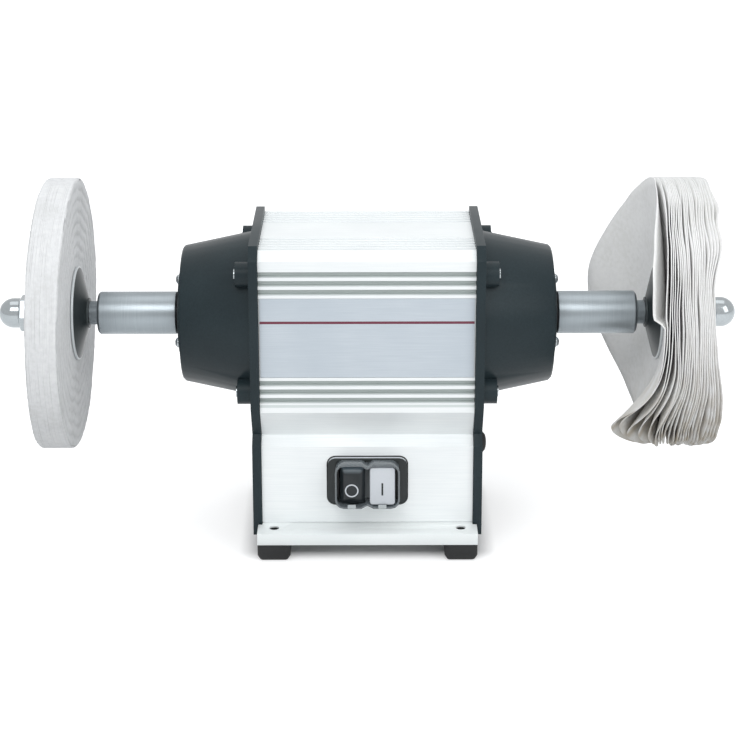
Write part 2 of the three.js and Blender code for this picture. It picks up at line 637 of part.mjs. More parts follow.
function endCap(name, bearingSeatX, withPlug) {
  const plate = prismAlongX(capOutline(), capInnerX, capOuterX);
  const spigotRadius = statorBoreRadius - SEAT_GAP;
  const spigotX = capInnerX - CAP_SPIGOT_LENGTH;
  const drum = turnedAlongX([
    [spigotX, 0],
    [spigotX, spigotRadius],
    [capOuterX - CAP_PLATE_THICKNESS / 2, spigotRadius],
    [capOuterX - CAP_PLATE_THICKNESS / 2, drumBaseRadius],
    [capOuterX, drumBaseRadius],
    [drumEndX - DRUM_END_EDGE, drumEndRadius],
    [drumEndX, drumEndRadius - DRUM_END_EDGE],
    [drumEndX, 0],
  ], FINE_COUNT);
  const bosses = bossPlaces().map(([y, z]) => {
    const bossStart = capOuterX - CAP_PLATE_THICKNESS / 2;
    return cylinderAlongX(BOSS_RADIUS, bossStart, bossEndX, COARSE_COUNT, y, z);
  });
  const roomEndX = drumEndX - DRUM_END_WALL;
  const room = turnedAlongX([
    [spigotX - CUT_OVERRUN, 0],
    [spigotX - CUT_OVERRUN, spigotRadius - CAP_WALL],
    [capInnerX, spigotRadius - CAP_WALL],
    [capOuterX, drumBaseRadius - CAP_WALL],
    [roomEndX, drumEndRadius - CAP_WALL],
    [roomEndX, BEARING_BOSS_RADIUS],
    [roomEndX - BEARING_BOSS_LENGTH, BEARING_BOSS_RADIUS],
    [roomEndX - BEARING_BOSS_LENGTH, 0],
  ], HIDDEN_COUNT);
  const pocket = turnedAlongX([
    [roomEndX - BEARING_BOSS_LENGTH - CUT_OVERRUN, 0],
    [roomEndX - BEARING_BOSS_LENGTH - CUT_OVERRUN, BEARING_SHOULDER_RADIUS],
    [bearingSeatX, BEARING_SHOULDER_RADIUS],
    [bearingSeatX, BEARING_OUTER_RADIUS + SEAT_GAP],
    [drumEndX + CUT_OVERRUN, BEARING_OUTER_RADIUS + SEAT_GAP],
    [drumEndX + CUT_OVERRUN, 0],
  ], HIDDEN_COUNT);
  const counterboreX = bossEndX + CAP_BOLT_HEAD_PROUD - CAP_BOLT_HEAD_HEIGHT - SEAT_GAP;
  const counterboreRadius = CAP_BOLT_HEAD_RADIUS + BOLT_CLEARANCE;
  const boltHoles = bossPlaces().flatMap(([y, z]) => [
    cylinderAlongX(CAP_BOLT_RADIUS + BOLT_CLEARANCE, capInnerX - CUT_OVERRUN, bossEndX, TAPPED_COUNT, y, z),
    cylinderAlongX(counterboreRadius, counterboreX, bossEndX + CUT_OVERRUN, COARSE_COUNT, y, z),
  ]);
  const tapDepth = COVER_SCREW_LENGTH - COVER_THICKNESS + SEAT_GAP;
  const tapped = coverScrewPlaces().map(([y, z]) => {
    const tapRadius = COVER_SCREW_RADIUS + BOLT_CLEARANCE;
    return cylinderAlongX(tapRadius, drumEndX - tapDepth, drumEndX + CUT_OVERRUN, TAPPED_COUNT, y, z);
  });
  const tools = [room, pocket, ...boltHoles, ...tapped];
  if (withPlug) {
    const plugHole = PLUG_STEM_RADIUS + SEAT_GAP;
    const holeStart = capInnerX - CUT_OVERRUN;
    tools.push(cylinderAlongX(plugHole, holeStart, capOuterX + CUT_OVERRUN, COARSE_COUNT, plugY, plugZ));
  }
  return piece(name, cut(join(plate, drum, ...bosses), ...tools), finishes.castPaint);
}

function coverScrewPlaces() {
  const spread = 2 * Math.PI * COVER_SCREW_TURN_SHARE;
  return [0, spread, -spread].map((angle) => [
    COVER_SCREW_CIRCLE * Math.sin(angle),
    COVER_SCREW_CIRCLE * Math.cos(angle),
  ]);
}

function capBolt(name, y, z) {
  const headEnd = bossEndX + CAP_BOLT_HEAD_PROUD;
  const headStart = headEnd - CAP_BOLT_HEAD_HEIGHT;
  const body = turnedAlongX([
    [headStart - CAP_BOLT_LENGTH, 0],
    [headStart - CAP_BOLT_LENGTH, CAP_BOLT_RADIUS],
    [headStart, CAP_BOLT_RADIUS],
    [headStart, CAP_BOLT_HEAD_RADIUS],
    [headEnd, CAP_BOLT_HEAD_RADIUS],
    [headEnd, 0],
  ], COARSE_COUNT);
  const socketFloor = headEnd - CAP_BOLT_SOCKET_DEPTH;
  const socket = cylinderAlongX(CAP_BOLT_SOCKET_RADIUS, socketFloor, headEnd + CUT_OVERRUN, HEX_SIDE_COUNT);
  const mesh = piece(name, cut(body, socket), finishes.chrome);
  mesh.position.set(0, y, z);
  return mesh;
}

function blankingPlug() {
  const headStart = capOuterX + SEAT_GAP;
  const crown = PLUG_HEAD_HEIGHT - SEAT_GAP;
  const body = turnedAlongX([
    [headStart - PLUG_STEM_LENGTH, 0],
    [headStart - PLUG_STEM_LENGTH, PLUG_STEM_RADIUS],
    [headStart, PLUG_STEM_RADIUS],
    [headStart, PLUG_HEAD_RADIUS],
    ...crownPoints(PLUG_CROWN_SHARES, headStart, crown, PLUG_HEAD_RADIUS),
    [headStart + crown, 0],
  ], COARSE_COUNT);
  const mesh = piece('side_plug', body, finishes.rubber);
  mesh.position.set(0, plugY, plugZ);
  return mesh;
}

// Bearings, covers and seals
function bearingOuterRing(name) {
  const trackRadius = BEARING_OUTER_RADIUS - BEARING_RACE_THICKNESS;
  const shieldRadius = SHAFT_RADIUS + SEAT_GAP + BEARING_RACE_THICKNESS + RUNNING_GAP;
  const ring = turnedAlongX([
    [bearingInnerX, shieldRadius],
    [bearingInnerX, BEARING_OUTER_RADIUS],
    [bearingOuterX, BEARING_OUTER_RADIUS],
    [bearingOuterX, shieldRadius],
    [bearingOuterX - BEARING_SHIELD_THICKNESS, shieldRadius],
    [bearingOuterX - BEARING_SHIELD_THICKNESS, trackRadius],
    [bearingInnerX + BEARING_SHIELD_THICKNESS, trackRadius],
    [bearingInnerX + BEARING_SHIELD_THICKNESS, shieldRadius],
  ], HIDDEN_COUNT);
  return piece(name, ring, finishes.steel);
}

function bearingInnerRing(name) {
  const boreRadius = SHAFT_RADIUS + SEAT_GAP;
  const ring = turnedAlongX([
    [bearingInnerX, boreRadius],
    [bearingInnerX, boreRadius + BEARING_RACE_THICKNESS],
    [bearingOuterX, boreRadius + BEARING_RACE_THICKNESS],
    [bearingOuterX, boreRadius],
  ], HIDDEN_COUNT);
  return piece(name, ring, finishes.steel);
}

function waveWasher(name) {
  const middleX = bearingInnerX - SEAT_GAP - WAVE_HEIGHT - WAVE_WASHER_THICKNESS / 2;
  const innerRadius = BEARING_SHOULDER_RADIUS + SEAT_GAP;
  const half = WAVE_WASHER_THICKNESS / 2;
  const ring = ringOfSections(HIDDEN_COUNT, (angle) => {
    const x = middleX + WAVE_HEIGHT * Math.cos(WAVE_COUNT * angle);
    return [
      [x - half, innerRadius],
      [x + half, innerRadius],
      [x + half, BEARING_OUTER_RADIUS],
      [x - half, BEARING_OUTER_RADIUS],
    ];
  });
  return piece(name, ring, finishes.steel);
}

function bearingCover(name) {
  const disc = turnedAlongX([
    [coverInnerX, COVER_BORE_RADIUS],
    [coverInnerX, COVER_RADIUS],
    [coverOuterX - COVER_EDGE, COVER_RADIUS],
    [coverOuterX, COVER_RADIUS - COVER_EDGE],
    [coverOuterX, COVER_BORE_RADIUS],
  ], MEDIUM_COUNT);
  const holeRadius = COVER_SCREW_RADIUS + BOLT_CLEARANCE;
  const holeStart = coverInnerX - CUT_OVERRUN;
  const holes = coverScrewPlaces().map(([y, z]) => {
    return cylinderAlongX(holeRadius, holeStart, coverOuterX + CUT_OVERRUN, COARSE_COUNT, y, z);
  });
  return piece(name, cut(disc, ...holes), finishes.castPaint);
}

function coverScrew(name, y, z) {
  const headStart = coverOuterX + SEAT_GAP;
  const headEnd = headStart + COVER_SCREW_HEAD_HEIGHT;
  const body = turnedAlongX([
    [headStart - COVER_SCREW_LENGTH, 0],
    [headStart - COVER_SCREW_LENGTH, COVER_SCREW_RADIUS],
    [headStart, COVER_SCREW_RADIUS],
    [headStart, COVER_SCREW_HEAD_RADIUS],
    ...crownPoints(PAN_HEAD_SHARES, headStart, COVER_SCREW_HEAD_HEIGHT, COVER_SCREW_HEAD_RADIUS),
    [headEnd, 0],
  ], COARSE_COUNT);
  const slotX = headEnd - COVER_SCREW_SLOT_DEPTH / 2 + CUT_OVERRUN / 2;
  const slotDepth = COVER_SCREW_SLOT_DEPTH + CUT_OVERRUN;
  const reach = COVER_SCREW_HEAD_RADIUS;
  const slots = [
    box(slotDepth, COVER_SCREW_SLOT_WIDTH, reach, slotX, 0, 0),
    box(slotDepth, reach, COVER_SCREW_SLOT_WIDTH, slotX, 0, 0),
  ];
  const mesh = piece(name, cut(body, ...slots), finishes.chrome);
  mesh.position.set(0, y, z);
  return mesh;
}

function shaftSeal(name) {
  const lipRadius = SHAFT_RADIUS + RUNNING_GAP;
  const ring = turnedAlongX([
    [coverInnerX, lipRadius],
    [coverInnerX, COVER_BORE_RADIUS - SEAT_GAP],
    [coverOuterX, COVER_BORE_RADIUS - SEAT_GAP],
    [coverOuterX, SEAL_LIP_RADIUS],
    [sealEndX, SEAL_LIP_RADIUS],
    [sealEndX, lipRadius],
  ], HIDDEN_COUNT);
  return piece(name, ring, finishes.rubber);
}

// Motor
function statorCore() {
  const outer = [];
  const outerRadius = statorBoreRadius - SEAT_GAP;
  for (let i = 0; i < FINE_COUNT; i += 1) {
    const angle = (2 * Math.PI * i) / FINE_COUNT;
    outer.push([outerRadius * Math.cos(angle), outerRadius * Math.sin(angle)]);
  }
  const shape = shapeOf(outer);
  const teeth = [];
  const slotBottom = statorInnerRadius + SLOT_DEPTH;
  const mouthTurn = Math.asin(SLOT_WIDTH / 2 / statorInnerRadius);
  const bottomTurn = Math.asin(SLOT_WIDTH / 2 / slotBottom);
  for (let i = 0; i < STATOR_SLOT_COUNT; i += 1) {
    const middle = (-2 * Math.PI * i) / STATOR_SLOT_COUNT;
    const corners = [
      [statorInnerRadius, mouthTurn],
      [slotBottom, bottomTurn],
      [slotBottom, -bottomTurn],
      [statorInnerRadius, -mouthTurn],
    ];
    corners.forEach(([radius, turn]) => {
      teeth.push(new THREE.Vector2(radius * Math.cos(middle + turn), radius * Math.sin(middle + turn)));
    });
  }
  shape.holes.push(new THREE.Path(teeth));
  return piece('stator_core', prismAlongX(shape, -statorLength / 2, statorLength / 2), finishes.laminations);
}

function windingHead(name) {
  const start = statorLength / 2 + SEAT_GAP;
  const end = start + WINDING_LENGTH;
  const outerRadius = statorBoreRadius - WINDING_OUTER_INSET;
  const innerRadius = statorInnerRadius + WINDING_INNER_INSET;
  const ring = turnedAlongX([
    [start, innerRadius],
    [start, outerRadius],
    [end - WINDING_CROWN, outerRadius],
    [end, outerRadius - WINDING_CROWN],
    [end, innerRadius + WINDING_CROWN],
    [end - WINDING_CROWN, innerRadius],
  ], HIDDEN_COUNT);
  return piece(name, ring, finishes.copper);
}

function rotorCore() {
  const half = rotorLength / 2;
  const bore = ROTOR_SEAT_RADIUS + SEAT_GAP;
  const radius = statorInnerRadius - RUNNING_GAP;
  const cageEnd = half + CAGE_RING_LENGTH;
  const cageOuterRadius = statorInnerRadius - CAGE_RING_INSET;
  const cageInnerRadius = cageOuterRadius - CAGE_RING_DEPTH;
  const body = turnedAlongX([
    [-half, bore],
    [-half, cageInnerRadius],
    [-cageEnd, cageInnerRadius],
    [-cageEnd, cageOuterRadius],
    [-half, cageOuterRadius],
    [-half, radius],
    [half, radius],
    [half, cageOuterRadius],
    [cageEnd, cageOuterRadius],
    [cageEnd, cageInnerRadius],
    [half, cageInnerRadius],
    [half, bore],
  ], HIDDEN_COUNT);
  return piece('rotor_core', body, finishes.laminations);
}

// Spindle
function spindleShaft() {
  const seatEnd = rotorLength / 2 + CAGE_RING_LENGTH;
  const half = [
    [seatEnd, ROTOR_SEAT_RADIUS],
    [seatEnd, SHAFT_RADIUS],
    [sealEndX, SHAFT_RADIUS],
    [sealEndX, SHAFT_END_RADIUS],
    [shaftEndX - SHAFT_END_EDGE, SHAFT_END_RADIUS],
    [shaftEndX, SHAFT_END_RADIUS - SHAFT_END_EDGE],
    [shaftEndX, 0],
  ];
  const otherHalf = half.map(([x, radius]) => [-x, radius]).reverse();
  return piece('spindle_shaft', turnedAlongX([...otherHalf, ...half], HIDDEN_COUNT), finishes.steel);
}

function shaftExtension(name) {
  const boreRadius = SHAFT_END_RADIUS + SEAT_GAP;
  const boreEnd = shaftEndX + SEAT_GAP;
  const arborEnd = nutX + NUT_THREAD_DEPTH - SEAT_GAP;
  const body = turnedAlongX([
    [boreEnd, 0],
    [boreEnd, boreRadius],
    [extensionStartX, boreRadius],
    [extensionStartX, EXTENSION_RADIUS],
    [extensionEndX - EXTENSION_EDGE, EXTENSION_RADIUS],
    [extensionEndX, EXTENSION_RADIUS - EXTENSION_EDGE],
    [extensionEndX, NECK_RADIUS],
    [neckEndX - SEAT_GAP, NECK_RADIUS],
    [neckEndX - SEAT_GAP, ARBOR_RADIUS],
    [arborEnd, ARBOR_RADIUS],
    [arborEnd, 0],
  ], MEDIUM_COUNT);
  return piece(name, body, finishes.steel);
}

function clampFlange(name, rimX, hubX) {
  const away = Math.sign(hubX - rimX);
  const bore = spindleBoreRadius;
  const body = turnedAlongX([
    [rimX + away * FLANGE_DISH_DEPTH, bore],
    [rimX + away * FLANGE_DISH_DEPTH, FLANGE_DISH_RADIUS - FLANGE_DISH_DEPTH],
    [rimX, FLANGE_DISH_RADIUS],
    [rimX, FLANGE_RADIUS],
    [rimX + away * FLANGE_RIM, FLANGE_RADIUS],
    [hubX - away * FLANGE_HUB_LENGTH, FLANGE_HUB_RADIUS],
    [hubX, FLANGE_HUB_RADIUS],
    [hubX, bore],
  ], MEDIUM_COUNT);
  return piece(name, body, finishes.darkSteel);
}

function springWasher(name) {
  const ring = turnedAlongX([
    [washerX, spindleBoreRadius],
    [washerX, WASHER_RADIUS],
    [washerX + WASHER_THICKNESS, WASHER_RADIUS],
    [washerX + WASHER_THICKNESS, spindleBoreRadius],
  ], HIDDEN_COUNT);
  return piece(name, ring, finishes.steel);
}

function capNut(name) {
  const hexRadius = NUT_ACROSS_FLATS / Math.sqrt(3);
  const hexEnd = nutX + NUT_HEX_HEIGHT;
  const tip = nutX + NUT_HEIGHT;
  const hex = cylinderAlongX(hexRadius, nutX, hexEnd, HEX_SIDE_COUNT);
  const flatRadius = NUT_ACROSS_FLATS / 2;
  const edgeCone = turnedAlongX([
    [nutX - CUT_OVERRUN, 0],
    [nutX - CUT_OVERRUN, flatRadius],
    [nutX, flatRadius],
    [nutX + (hexRadius - flatRadius) / 2, hexRadius],
    [hexEnd - NUT_EDGE_DROP, hexRadius],
    [hexEnd, NUT_DOME_RADIUS],
    [hexEnd + CUT_OVERRUN, NUT_DOME_RADIUS],
    [hexEnd + CUT_OVERRUN, 0],
  ], MEDIUM_COUNT);
  const roundedHex = toGeometry(toManifold(hex).intersect(toManifold(edgeCone)));
  const dome = [[hexEnd - NUT_EDGE_DROP, 0], [hexEnd - NUT_EDGE_DROP, NUT_DOME_RADIUS]];
  const domeStart = tip - NUT_DOME_RADIUS;
  for (let i = 0; i <= NUT_DOME_STEP_COUNT; i += 1) {
    const angle = (Math.PI / 2) * (i / NUT_DOME_STEP_COUNT);
    const radius = i === NUT_DOME_STEP_COUNT ? 0 : NUT_DOME_RADIUS * Math.cos(angle);
    dome.push([domeStart + NUT_DOME_RADIUS * Math.sin(angle), radius]);
  }
  const threadEnd = nutX + NUT_THREAD_DEPTH;
  const thread = cylinderAlongX(spindleBoreRadius, nutX - CUT_OVERRUN, threadEnd, MEDIUM_COUNT);
  return piece(name, cut(join(roundedHex, turnedAlongX(dome, MEDIUM_COUNT)), thread), finishes.chrome);
}

// Buffs
function stitchedBuff() {
  const bore = spindleBoreRadius + BUFF_BORE_CLEARANCE;
  const faceStart = FLANGE_RADIUS + BUFF_EDGE;
  const rimStart = BUFF_RADIUS - BUFF_EDGE;
  const faceRadii = [bore, FLANGE_RADIUS];
  for (let row = 0; row < STITCH_FACE_ROW_COUNT; row += 1) {
    faceRadii.push(faceStart + ((rimStart - faceStart) * (row + 1)) / (STITCH_FACE_ROW_COUNT + 1));
  }
  const body = ringOfSections(STITCHED_SECTION_COUNT, (angle) => {
    const puffAt = (row) => {
      if (row < 2) return 0;
      const sway = STITCH_SWAY_SHARE * Math.cos(STITCH_WAVE_COUNT * angle + row);
      return (STITCH_RIPPLE * (SEWN_ROW_SHARES[row % 2] + sway)) / 2;
    };
    const inner = faceRadii.map((radius, row) => [-(buffInnerX - puffAt(row)), radius]);
    const outer = faceRadii.map((radius, row) => [-(buffOuterX + puffAt(row)), radius]).reverse();
    return [
      ...inner,
      [-(buffInnerX + BUFF_EDGE / 2), rimStart],
      [-(buffInnerX + BUFF_EDGE), BUFF_RADIUS],
      [-(buffOuterX - BUFF_EDGE), BUFF_RADIUS],
      [-(buffOuterX - BUFF_EDGE / 2), rimStart],
      ...outer,
    ];
  });
  return piece('stitched_buff', body, finishes.cotton);
}

// How far a fold of the loose cloth leans at an angle, from 1 at its crest to 0 far from it
function foldShare(angle, crest, spread) {
  const away = Math.atan2(Math.sin(angle - crest), Math.cos(angle - crest));
  return Math.exp(-(away * away) / (2 * spread * spread));
}

function leanAt(folds, angle) {
  return folds.reduce((sum, [crestShare, spreadShare, leanShare]) => {
    const share = foldShare(angle, 2 * Math.PI * crestShare, 2 * Math.PI * spreadShare);
    return sum + BUFF_RADIUS * leanShare * share;
  }, 0);
}

function looseBuff() {
  const bore = spindleBoreRadius + BUFF_BORE_CLEARANCE;
  const root = FLANGE_RADIUS + BUFF_EDGE;
  const leanShares = [];
  for (let row = 1; row <= LOOSE_FACE_ROW_COUNT; row += 1) leanShares.push(row / (LOOSE_FACE_ROW_COUNT + 1));
  const body = ringOfSections(LOOSE_SECTION_COUNT, (angle) => {
    const innerLean = LOOSE_INNER_LEAN + leanAt(INNER_FOLD_SHARES, angle);
    const outerLean = LOOSE_OUTER_LEAN + leanAt(OUTER_FOLD_SHARES, angle);
    const reach = (lean) => BUFF_RADIUS - (lean * lean) / FOLD_SHORTENING;
    const faceAt = (side, lean) => leanShares.map((share) => {
      return [side + lean * share ** (1 + LOOSE_BEND_SHARE), root + (reach(lean) - root) * share];
    });
    const rim = [];
    const steps = 2 * LOOSE_RIM_LAYER_COUNT;
    for (let i = 0; i <= steps; i += 1) {
      const share = i / steps;
      const lean = -innerLean + (innerLean + outerLean) * share;
      const tuck = i % 2 === 0 ? 0 : LOOSE_LAYER_DEPTH;
      rim.push([buffInnerX + BUFF_WIDTH * share + lean, reach(lean) - tuck]);
    }
    return [
      [buffInnerX, bore],
      [buffInnerX, root],
      ...faceAt(buffInnerX, -innerLean),
      ...rim,
      ...faceAt(buffOuterX, outerLean).reverse(),
      [buffOuterX, root],
      [buffOuterX, bore],
    ];
  });
  return piece('loose_buff', body, finishes.cotton);
}

// Base
function trayPlan(halfWidth, inset) {
  const neck = HOUSING_LENGTH / 2 - inset;
  const wide = halfWidth - inset;
  const deep = trayHalfDepth - inset;
  const step = trayHalfDepth - TRAY_LIP_DEPTH + inset;
  return shapeOf([
    [-wide, -deep], [wide, -deep], [wide, -step], [neck, -step],
    [neck, step], [wide, step], [wide, deep], [-wide, deep],
    [-wide, step], [-neck, step], [-neck, -step], [-wide, -step],
  ]);
}

function benchHolePlaces() {
  return [
    [-benchHoleX, -benchHoleY], [benchHoleX, -benchHoleY],
    [benchHoleX, benchHoleY], [-benchHoleX, benchHoleY],
  ];
}

function traySolid(inset, depth, fromZ) {
  const plan = trayPlan(trayLipHalfWidth, inset);
  const solid = new THREE.ExtrudeGeometry(plan, { depth, bevelEnabled: false });
  solid.translate(0, 0, fromZ);
  return solid;
}

function baseTray() {
  const block = traySolid(0, TRAY_HEIGHT, -trayFlangeDrop);
  const hollowDepth = TRAY_HEIGHT - TRAY_SHEET + CUT_OVERRUN;
  const hollow = traySolid(TRAY_SHEET, hollowDepth, -trayFlangeDrop - CUT_OVERRUN);
  const holes = benchHolePlaces().map(([x, y]) => {
    return cylinderAlongZ(BENCH_HOLE_RADIUS, -trayFlangeDrop, -trayDrop + CUT_OVERRUN, COARSE_COUNT, x, y);
  });
  const mesh = piece('base_tray', cut(block, hollow, ...holes), finishes.whitePaint);
  mesh.position.z = shaftHeight;
  return mesh;
}

function foot(name, x, y) {
  const headTop = FOOT_HEIGHT + TRAY_HEIGHT - TRAY_SHEET;
  const wide = roundedRectangle(FOOT_SIZE, FOOT_SIZE, FOOT_CORNER);
  const narrow = roundedRectangle(FOOT_BOTTOM_SIZE, FOOT_BOTTOM_SIZE, FOOT_CORNER / 2);
  const head = roundedRectangle(FOOT_HEAD_SIZE, FOOT_HEAD_SIZE, FOOT_CORNER / 2);
  const body = loft([
    [narrow, 0],
    [wide, FOOT_EDGE_HEIGHT],
    [wide, FOOT_HEIGHT],
    [head, FOOT_HEIGHT + SEAT_GAP],
    [head, headTop],
  ]);
  const hole = cylinderAlongZ(FOOT_HOLE_RADIUS, -CUT_OVERRUN, headTop + CUT_OVERRUN, COARSE_COUNT);
  const mesh = piece(name, cut(body, hole), finishes.rubber);
  mesh.position.set(x, y, 0);
  return mesh;
}

// Switch, drawn with x to the side, y up the panel and z out of it
function switchBezel() {
  const full = roundedRectangle(BEZEL_WIDTH, BEZEL_HEIGHT, BEZEL_CORNER);
  const edged = roundedRectangle(BEZEL_WIDTH - 2 * SEAT_GAP, BEZEL_HEIGHT - 2 * SEAT_GAP, BEZEL_CORNER);
  const plate = loft([[full, SEAT_GAP], [full, BEZEL_THICKNESS - SEAT_GAP], [edged, BEZEL_THICKNESS]]);
  const backWidth = switchWindowWidth + 2 * BEZEL_WALL;
  const backHeight = switchWindowHeight + 2 * BEZEL_WALL;
  const backMiddle = (BEZEL_THICKNESS - BEZEL_BACK_DEPTH) / 2;
  const back = box(backWidth, backHeight, BEZEL_BACK_DEPTH, 0, 0, backMiddle);
  const windowDepth = 2 * (BEZEL_BACK_DEPTH + BEZEL_THICKNESS);
  const window = box(switchWindowWidth, switchWindowHeight, windowDepth, 0, 0, 0);
  return piece('switch_bezel', cut(join(plate, back), window), finishes.blackPlastic);
}

function guardOutline(inset) {
  const outline = roundedRectangle(GUARD_WIDTH - 2 * inset, GUARD_HEIGHT - 2 * inset, GUARD_CORNER - inset);
  const top = GUARD_HEIGHT / 2 - inset;
  const tip = top - GUARD_NOTCH;
  const quarter = outline.length / 4;
  const notch = [
    [GUARD_NOTCH_HALF_WIDTH, top],
    [GUARD_NOTCH_TIP, tip],
    [-GUARD_NOTCH_TIP, tip],
    [-GUARD_NOTCH_HALF_WIDTH, top],
  ];
  const lowerNotch = notch.map(([x, y]) => [-x, -y]);
  return [
    ...outline.slice(0, quarter),
    ...notch,
    ...outline.slice(quarter, 3 * quarter),
    ...lowerNotch,
    ...outline.slice(3 * quarter),
  ];
}

function switchGuard() {
  const shape = shapeOf(guardOutline(0));
  const opening = guardOutline(GUARD_WALL).reverse();
  shape.holes.push(new THREE.Path(opening.map(([x, y]) => new THREE.Vector2(x, y))));
  const base = BEZEL_THICKNESS + SEAT_GAP;
  const tube = new THREE.ExtrudeGeometry(shape, { depth: GUARD_DEPTH - base, bevelEnabled: false });
  tube.translate(0, 0, base);
  const lugMiddle = base + GUARD_LUG_HEIGHT / 2;
  const lugs = [-BUTTON_CENTRE_X, BUTTON_CENTRE_X].map((x) => {
    return box(GUARD_LUG_WIDTH, GUARD_WALL, GUARD_LUG_HEIGHT, x, -GUARD_HEIGHT / 2, lugMiddle);
  });
  return piece('switch_guard', join(tube, ...lugs), finishes.clearPlastic);
}

function switchBlock() {
  const front = BUTTON_BACK - BUTTON_TRAVEL - RUNNING_GAP;
  const width = switchWindowWidth - 2 * RUNNING_GAP;
  const height = switchWindowHeight - 2 * RUNNING_GAP;
  const body = box(width, height, SWITCH_BLOCK_DEPTH, 0, 0, front - SWITCH_BLOCK_DEPTH / 2);
  const tabs = [];
  [-1, 1].forEach((side) => [-1, 0, 1].forEach((row) => {
    const tabZ = front - SWITCH_BLOCK_DEPTH;
    const x = side * BUTTON_CENTRE_X;
    const y = (row * SWITCH_TAB_SPREAD) / 2;
    tabs.push(box(SWITCH_TAB_WIDTH, SWITCH_TAB_THICKNESS, 2 * SWITCH_TAB_LENGTH, x, y, tabZ));
  }));
  return piece('switch_block', join(body, ...tabs), finishes.greyPlastic);
}

function switchButton(name, x, faceWidth, faceHeight, bevel, finish) {
  const wide = roundedRectangle(BUTTON_WIDTH, BUTTON_HEIGHT, BUTTON_CORNER);
  const face = roundedRectangle(faceWidth, faceHeight, BUTTON_CORNER / 2);
  const body = loft([[wide, BUTTON_BACK], [wide, BUTTON_FRONT - bevel], [face, BUTTON_FRONT]]);
  const mesh = piece(name, body, finish);
  mesh.position.set(x, 0, 0);
  return mesh;
}

// Wiring compartment
function capacitor() {
  const half = CAPACITOR_LENGTH / 2;
  const can = turnedAlongX([
    [-half, 0],
    [-half, CAPACITOR_RADIUS - CAPACITOR_RIM],
    [-half + CAPACITOR_RIM, CAPACITOR_RADIUS],
    [half - CAPACITOR_RIM, CAPACITOR_RADIUS],
    [half, CAPACITOR_RADIUS - CAPACITOR_RIM],
    [half, 0],
  ], MEDIUM_COUNT);
  const tabs = [-SWITCH_TAB_SPREAD / 2, SWITCH_TAB_SPREAD / 2].map((y) => {
    return box(2 * SWITCH_TAB_LENGTH, SWITCH_TAB_THICKNESS, SWITCH_TAB_WIDTH, half, y, 0);
  });
  const mesh = piece('capacitor', join(can, ...tabs), finishes.whitePlastic);
  mesh.position.set(capacitorX, capacitorY, shaftHeight - trayDrop + SEAT_GAP + CAPACITOR_RADIUS);
  return mesh;
}

function capacitorClamp() {
  const inner = CAPACITOR_RADIUS + SEAT_GAP;
  const outer = inner + CLAMP_SHEET;
  const half = CLAMP_WIDTH / 2;
  const hoop = cylinderAlongX(outer, -half, half, MEDIUM_COUNT);
  const legs = box(CLAMP_WIDTH, 2 * outer, CAPACITOR_RADIUS, 0, 0, -CAPACITOR_RADIUS / 2);
  const earWidth = 2 * (outer + CLAMP_EAR);
  const ears = box(CLAMP_WIDTH, earWidth, CLAMP_SHEET, 0, 0, CLAMP_SHEET / 2 - CAPACITOR_RADIUS);
  const round = cylinderAlongX(inner, -half - CUT_OVERRUN, half + CUT_OVERRUN, MEDIUM_COUNT);
  const below = box(CLAMP_WIDTH + CUT_OVERRUN, 2 * inner, 2 * CAPACITOR_RADIUS, 0, 0, -CAPACITOR_RADIUS);
  const underside = box(CLAMP_WIDTH + CUT_OVERRUN, earWidth, outer, 0, 0, -CAPACITOR_RADIUS - outer / 2);
  const strap = cut(join(hoop, legs, ears), round, below, underside);
  const mesh = piece('capacitor_clamp', strap, finishes.steel);
  mesh.position.set(capacitorX, capacitorY, shaftHeight - trayDrop + SEAT_GAP + CAPACITOR_RADIUS);
  return mesh;
}

function terminalBlock() {
  const pitch = TERMINAL_LENGTH / TERMINAL_POLE_COUNT;
  const body = box(TERMINAL_LENGTH, TERMINAL_DEPTH, TERMINAL_HEIGHT, 0, 0, TERMINAL_HEIGHT / 2);
  const tools = [];
  for (let pole = 0; pole < TERMINAL_POLE_COUNT; pole += 1) {
    const x = (pole + 1 / 2) * pitch - TERMINAL_LENGTH / 2;
    const wellFloor = TERMINAL_HEIGHT / 2;
    const wellTop = TERMINAL_HEIGHT + CUT_OVERRUN;
    tools.push(cylinderAlongZ(TERMINAL_SCREW_RADIUS, wellFloor, wellTop, COARSE_COUNT, x, 0));
    const notch = box(TERMINAL_NOTCH, 2 * TERMINAL_DEPTH, TERMINAL_HEIGHT, x - pitch / 2, 0, TERMINAL_HEIGHT);
    if (pole > 0) tools.push(notch);
  }
  const mesh = piece('terminal_block', cut(body, ...tools), finishes.greyPlastic);
  mesh.position.set(terminalX, terminalY, shaftHeight - trayDrop + SEAT_GAP);
  return mesh;
}

// Drawn with z out of the back panel
function cableGland() {
  const flangeEnd = SEAT_GAP + GLAND_FLANGE_HEIGHT;
  const capEnd = flangeEnd + GLAND_CAP_HEIGHT;
  const threadStart = SEAT_GAP - GLAND_THREAD_LENGTH;
  const thread = cylinderAlongZ(GLAND_THREAD_RADIUS, threadStart, flangeEnd, MEDIUM_COUNT);
  const flange = cylinderAlongZ(GLAND_FLANGE_RADIUS, SEAT_GAP, flangeEnd, HEX_SIDE_COUNT);
  const capTopRadius = GLAND_HOLE_RADIUS + GLAND_CAP_WALL;
  const cap = new THREE.CylinderGeometry(capTopRadius, GLAND_CAP_RADIUS, GLAND_CAP_HEIGHT, MEDIUM_COUNT);
  cap.rotateX(Math.PI / 2);
  cap.translate(0, 0, (flangeEnd + capEnd) / 2);
  const hole = cylinderAlongZ(GLAND_HOLE_RADIUS, -GLAND_THREAD_LENGTH, capEnd + CUT_OVERRUN, COARSE_COUNT);
  return piece('cable_gland', cut(join(thread, flange, cap), hole), finishes.blackPlastic);
}

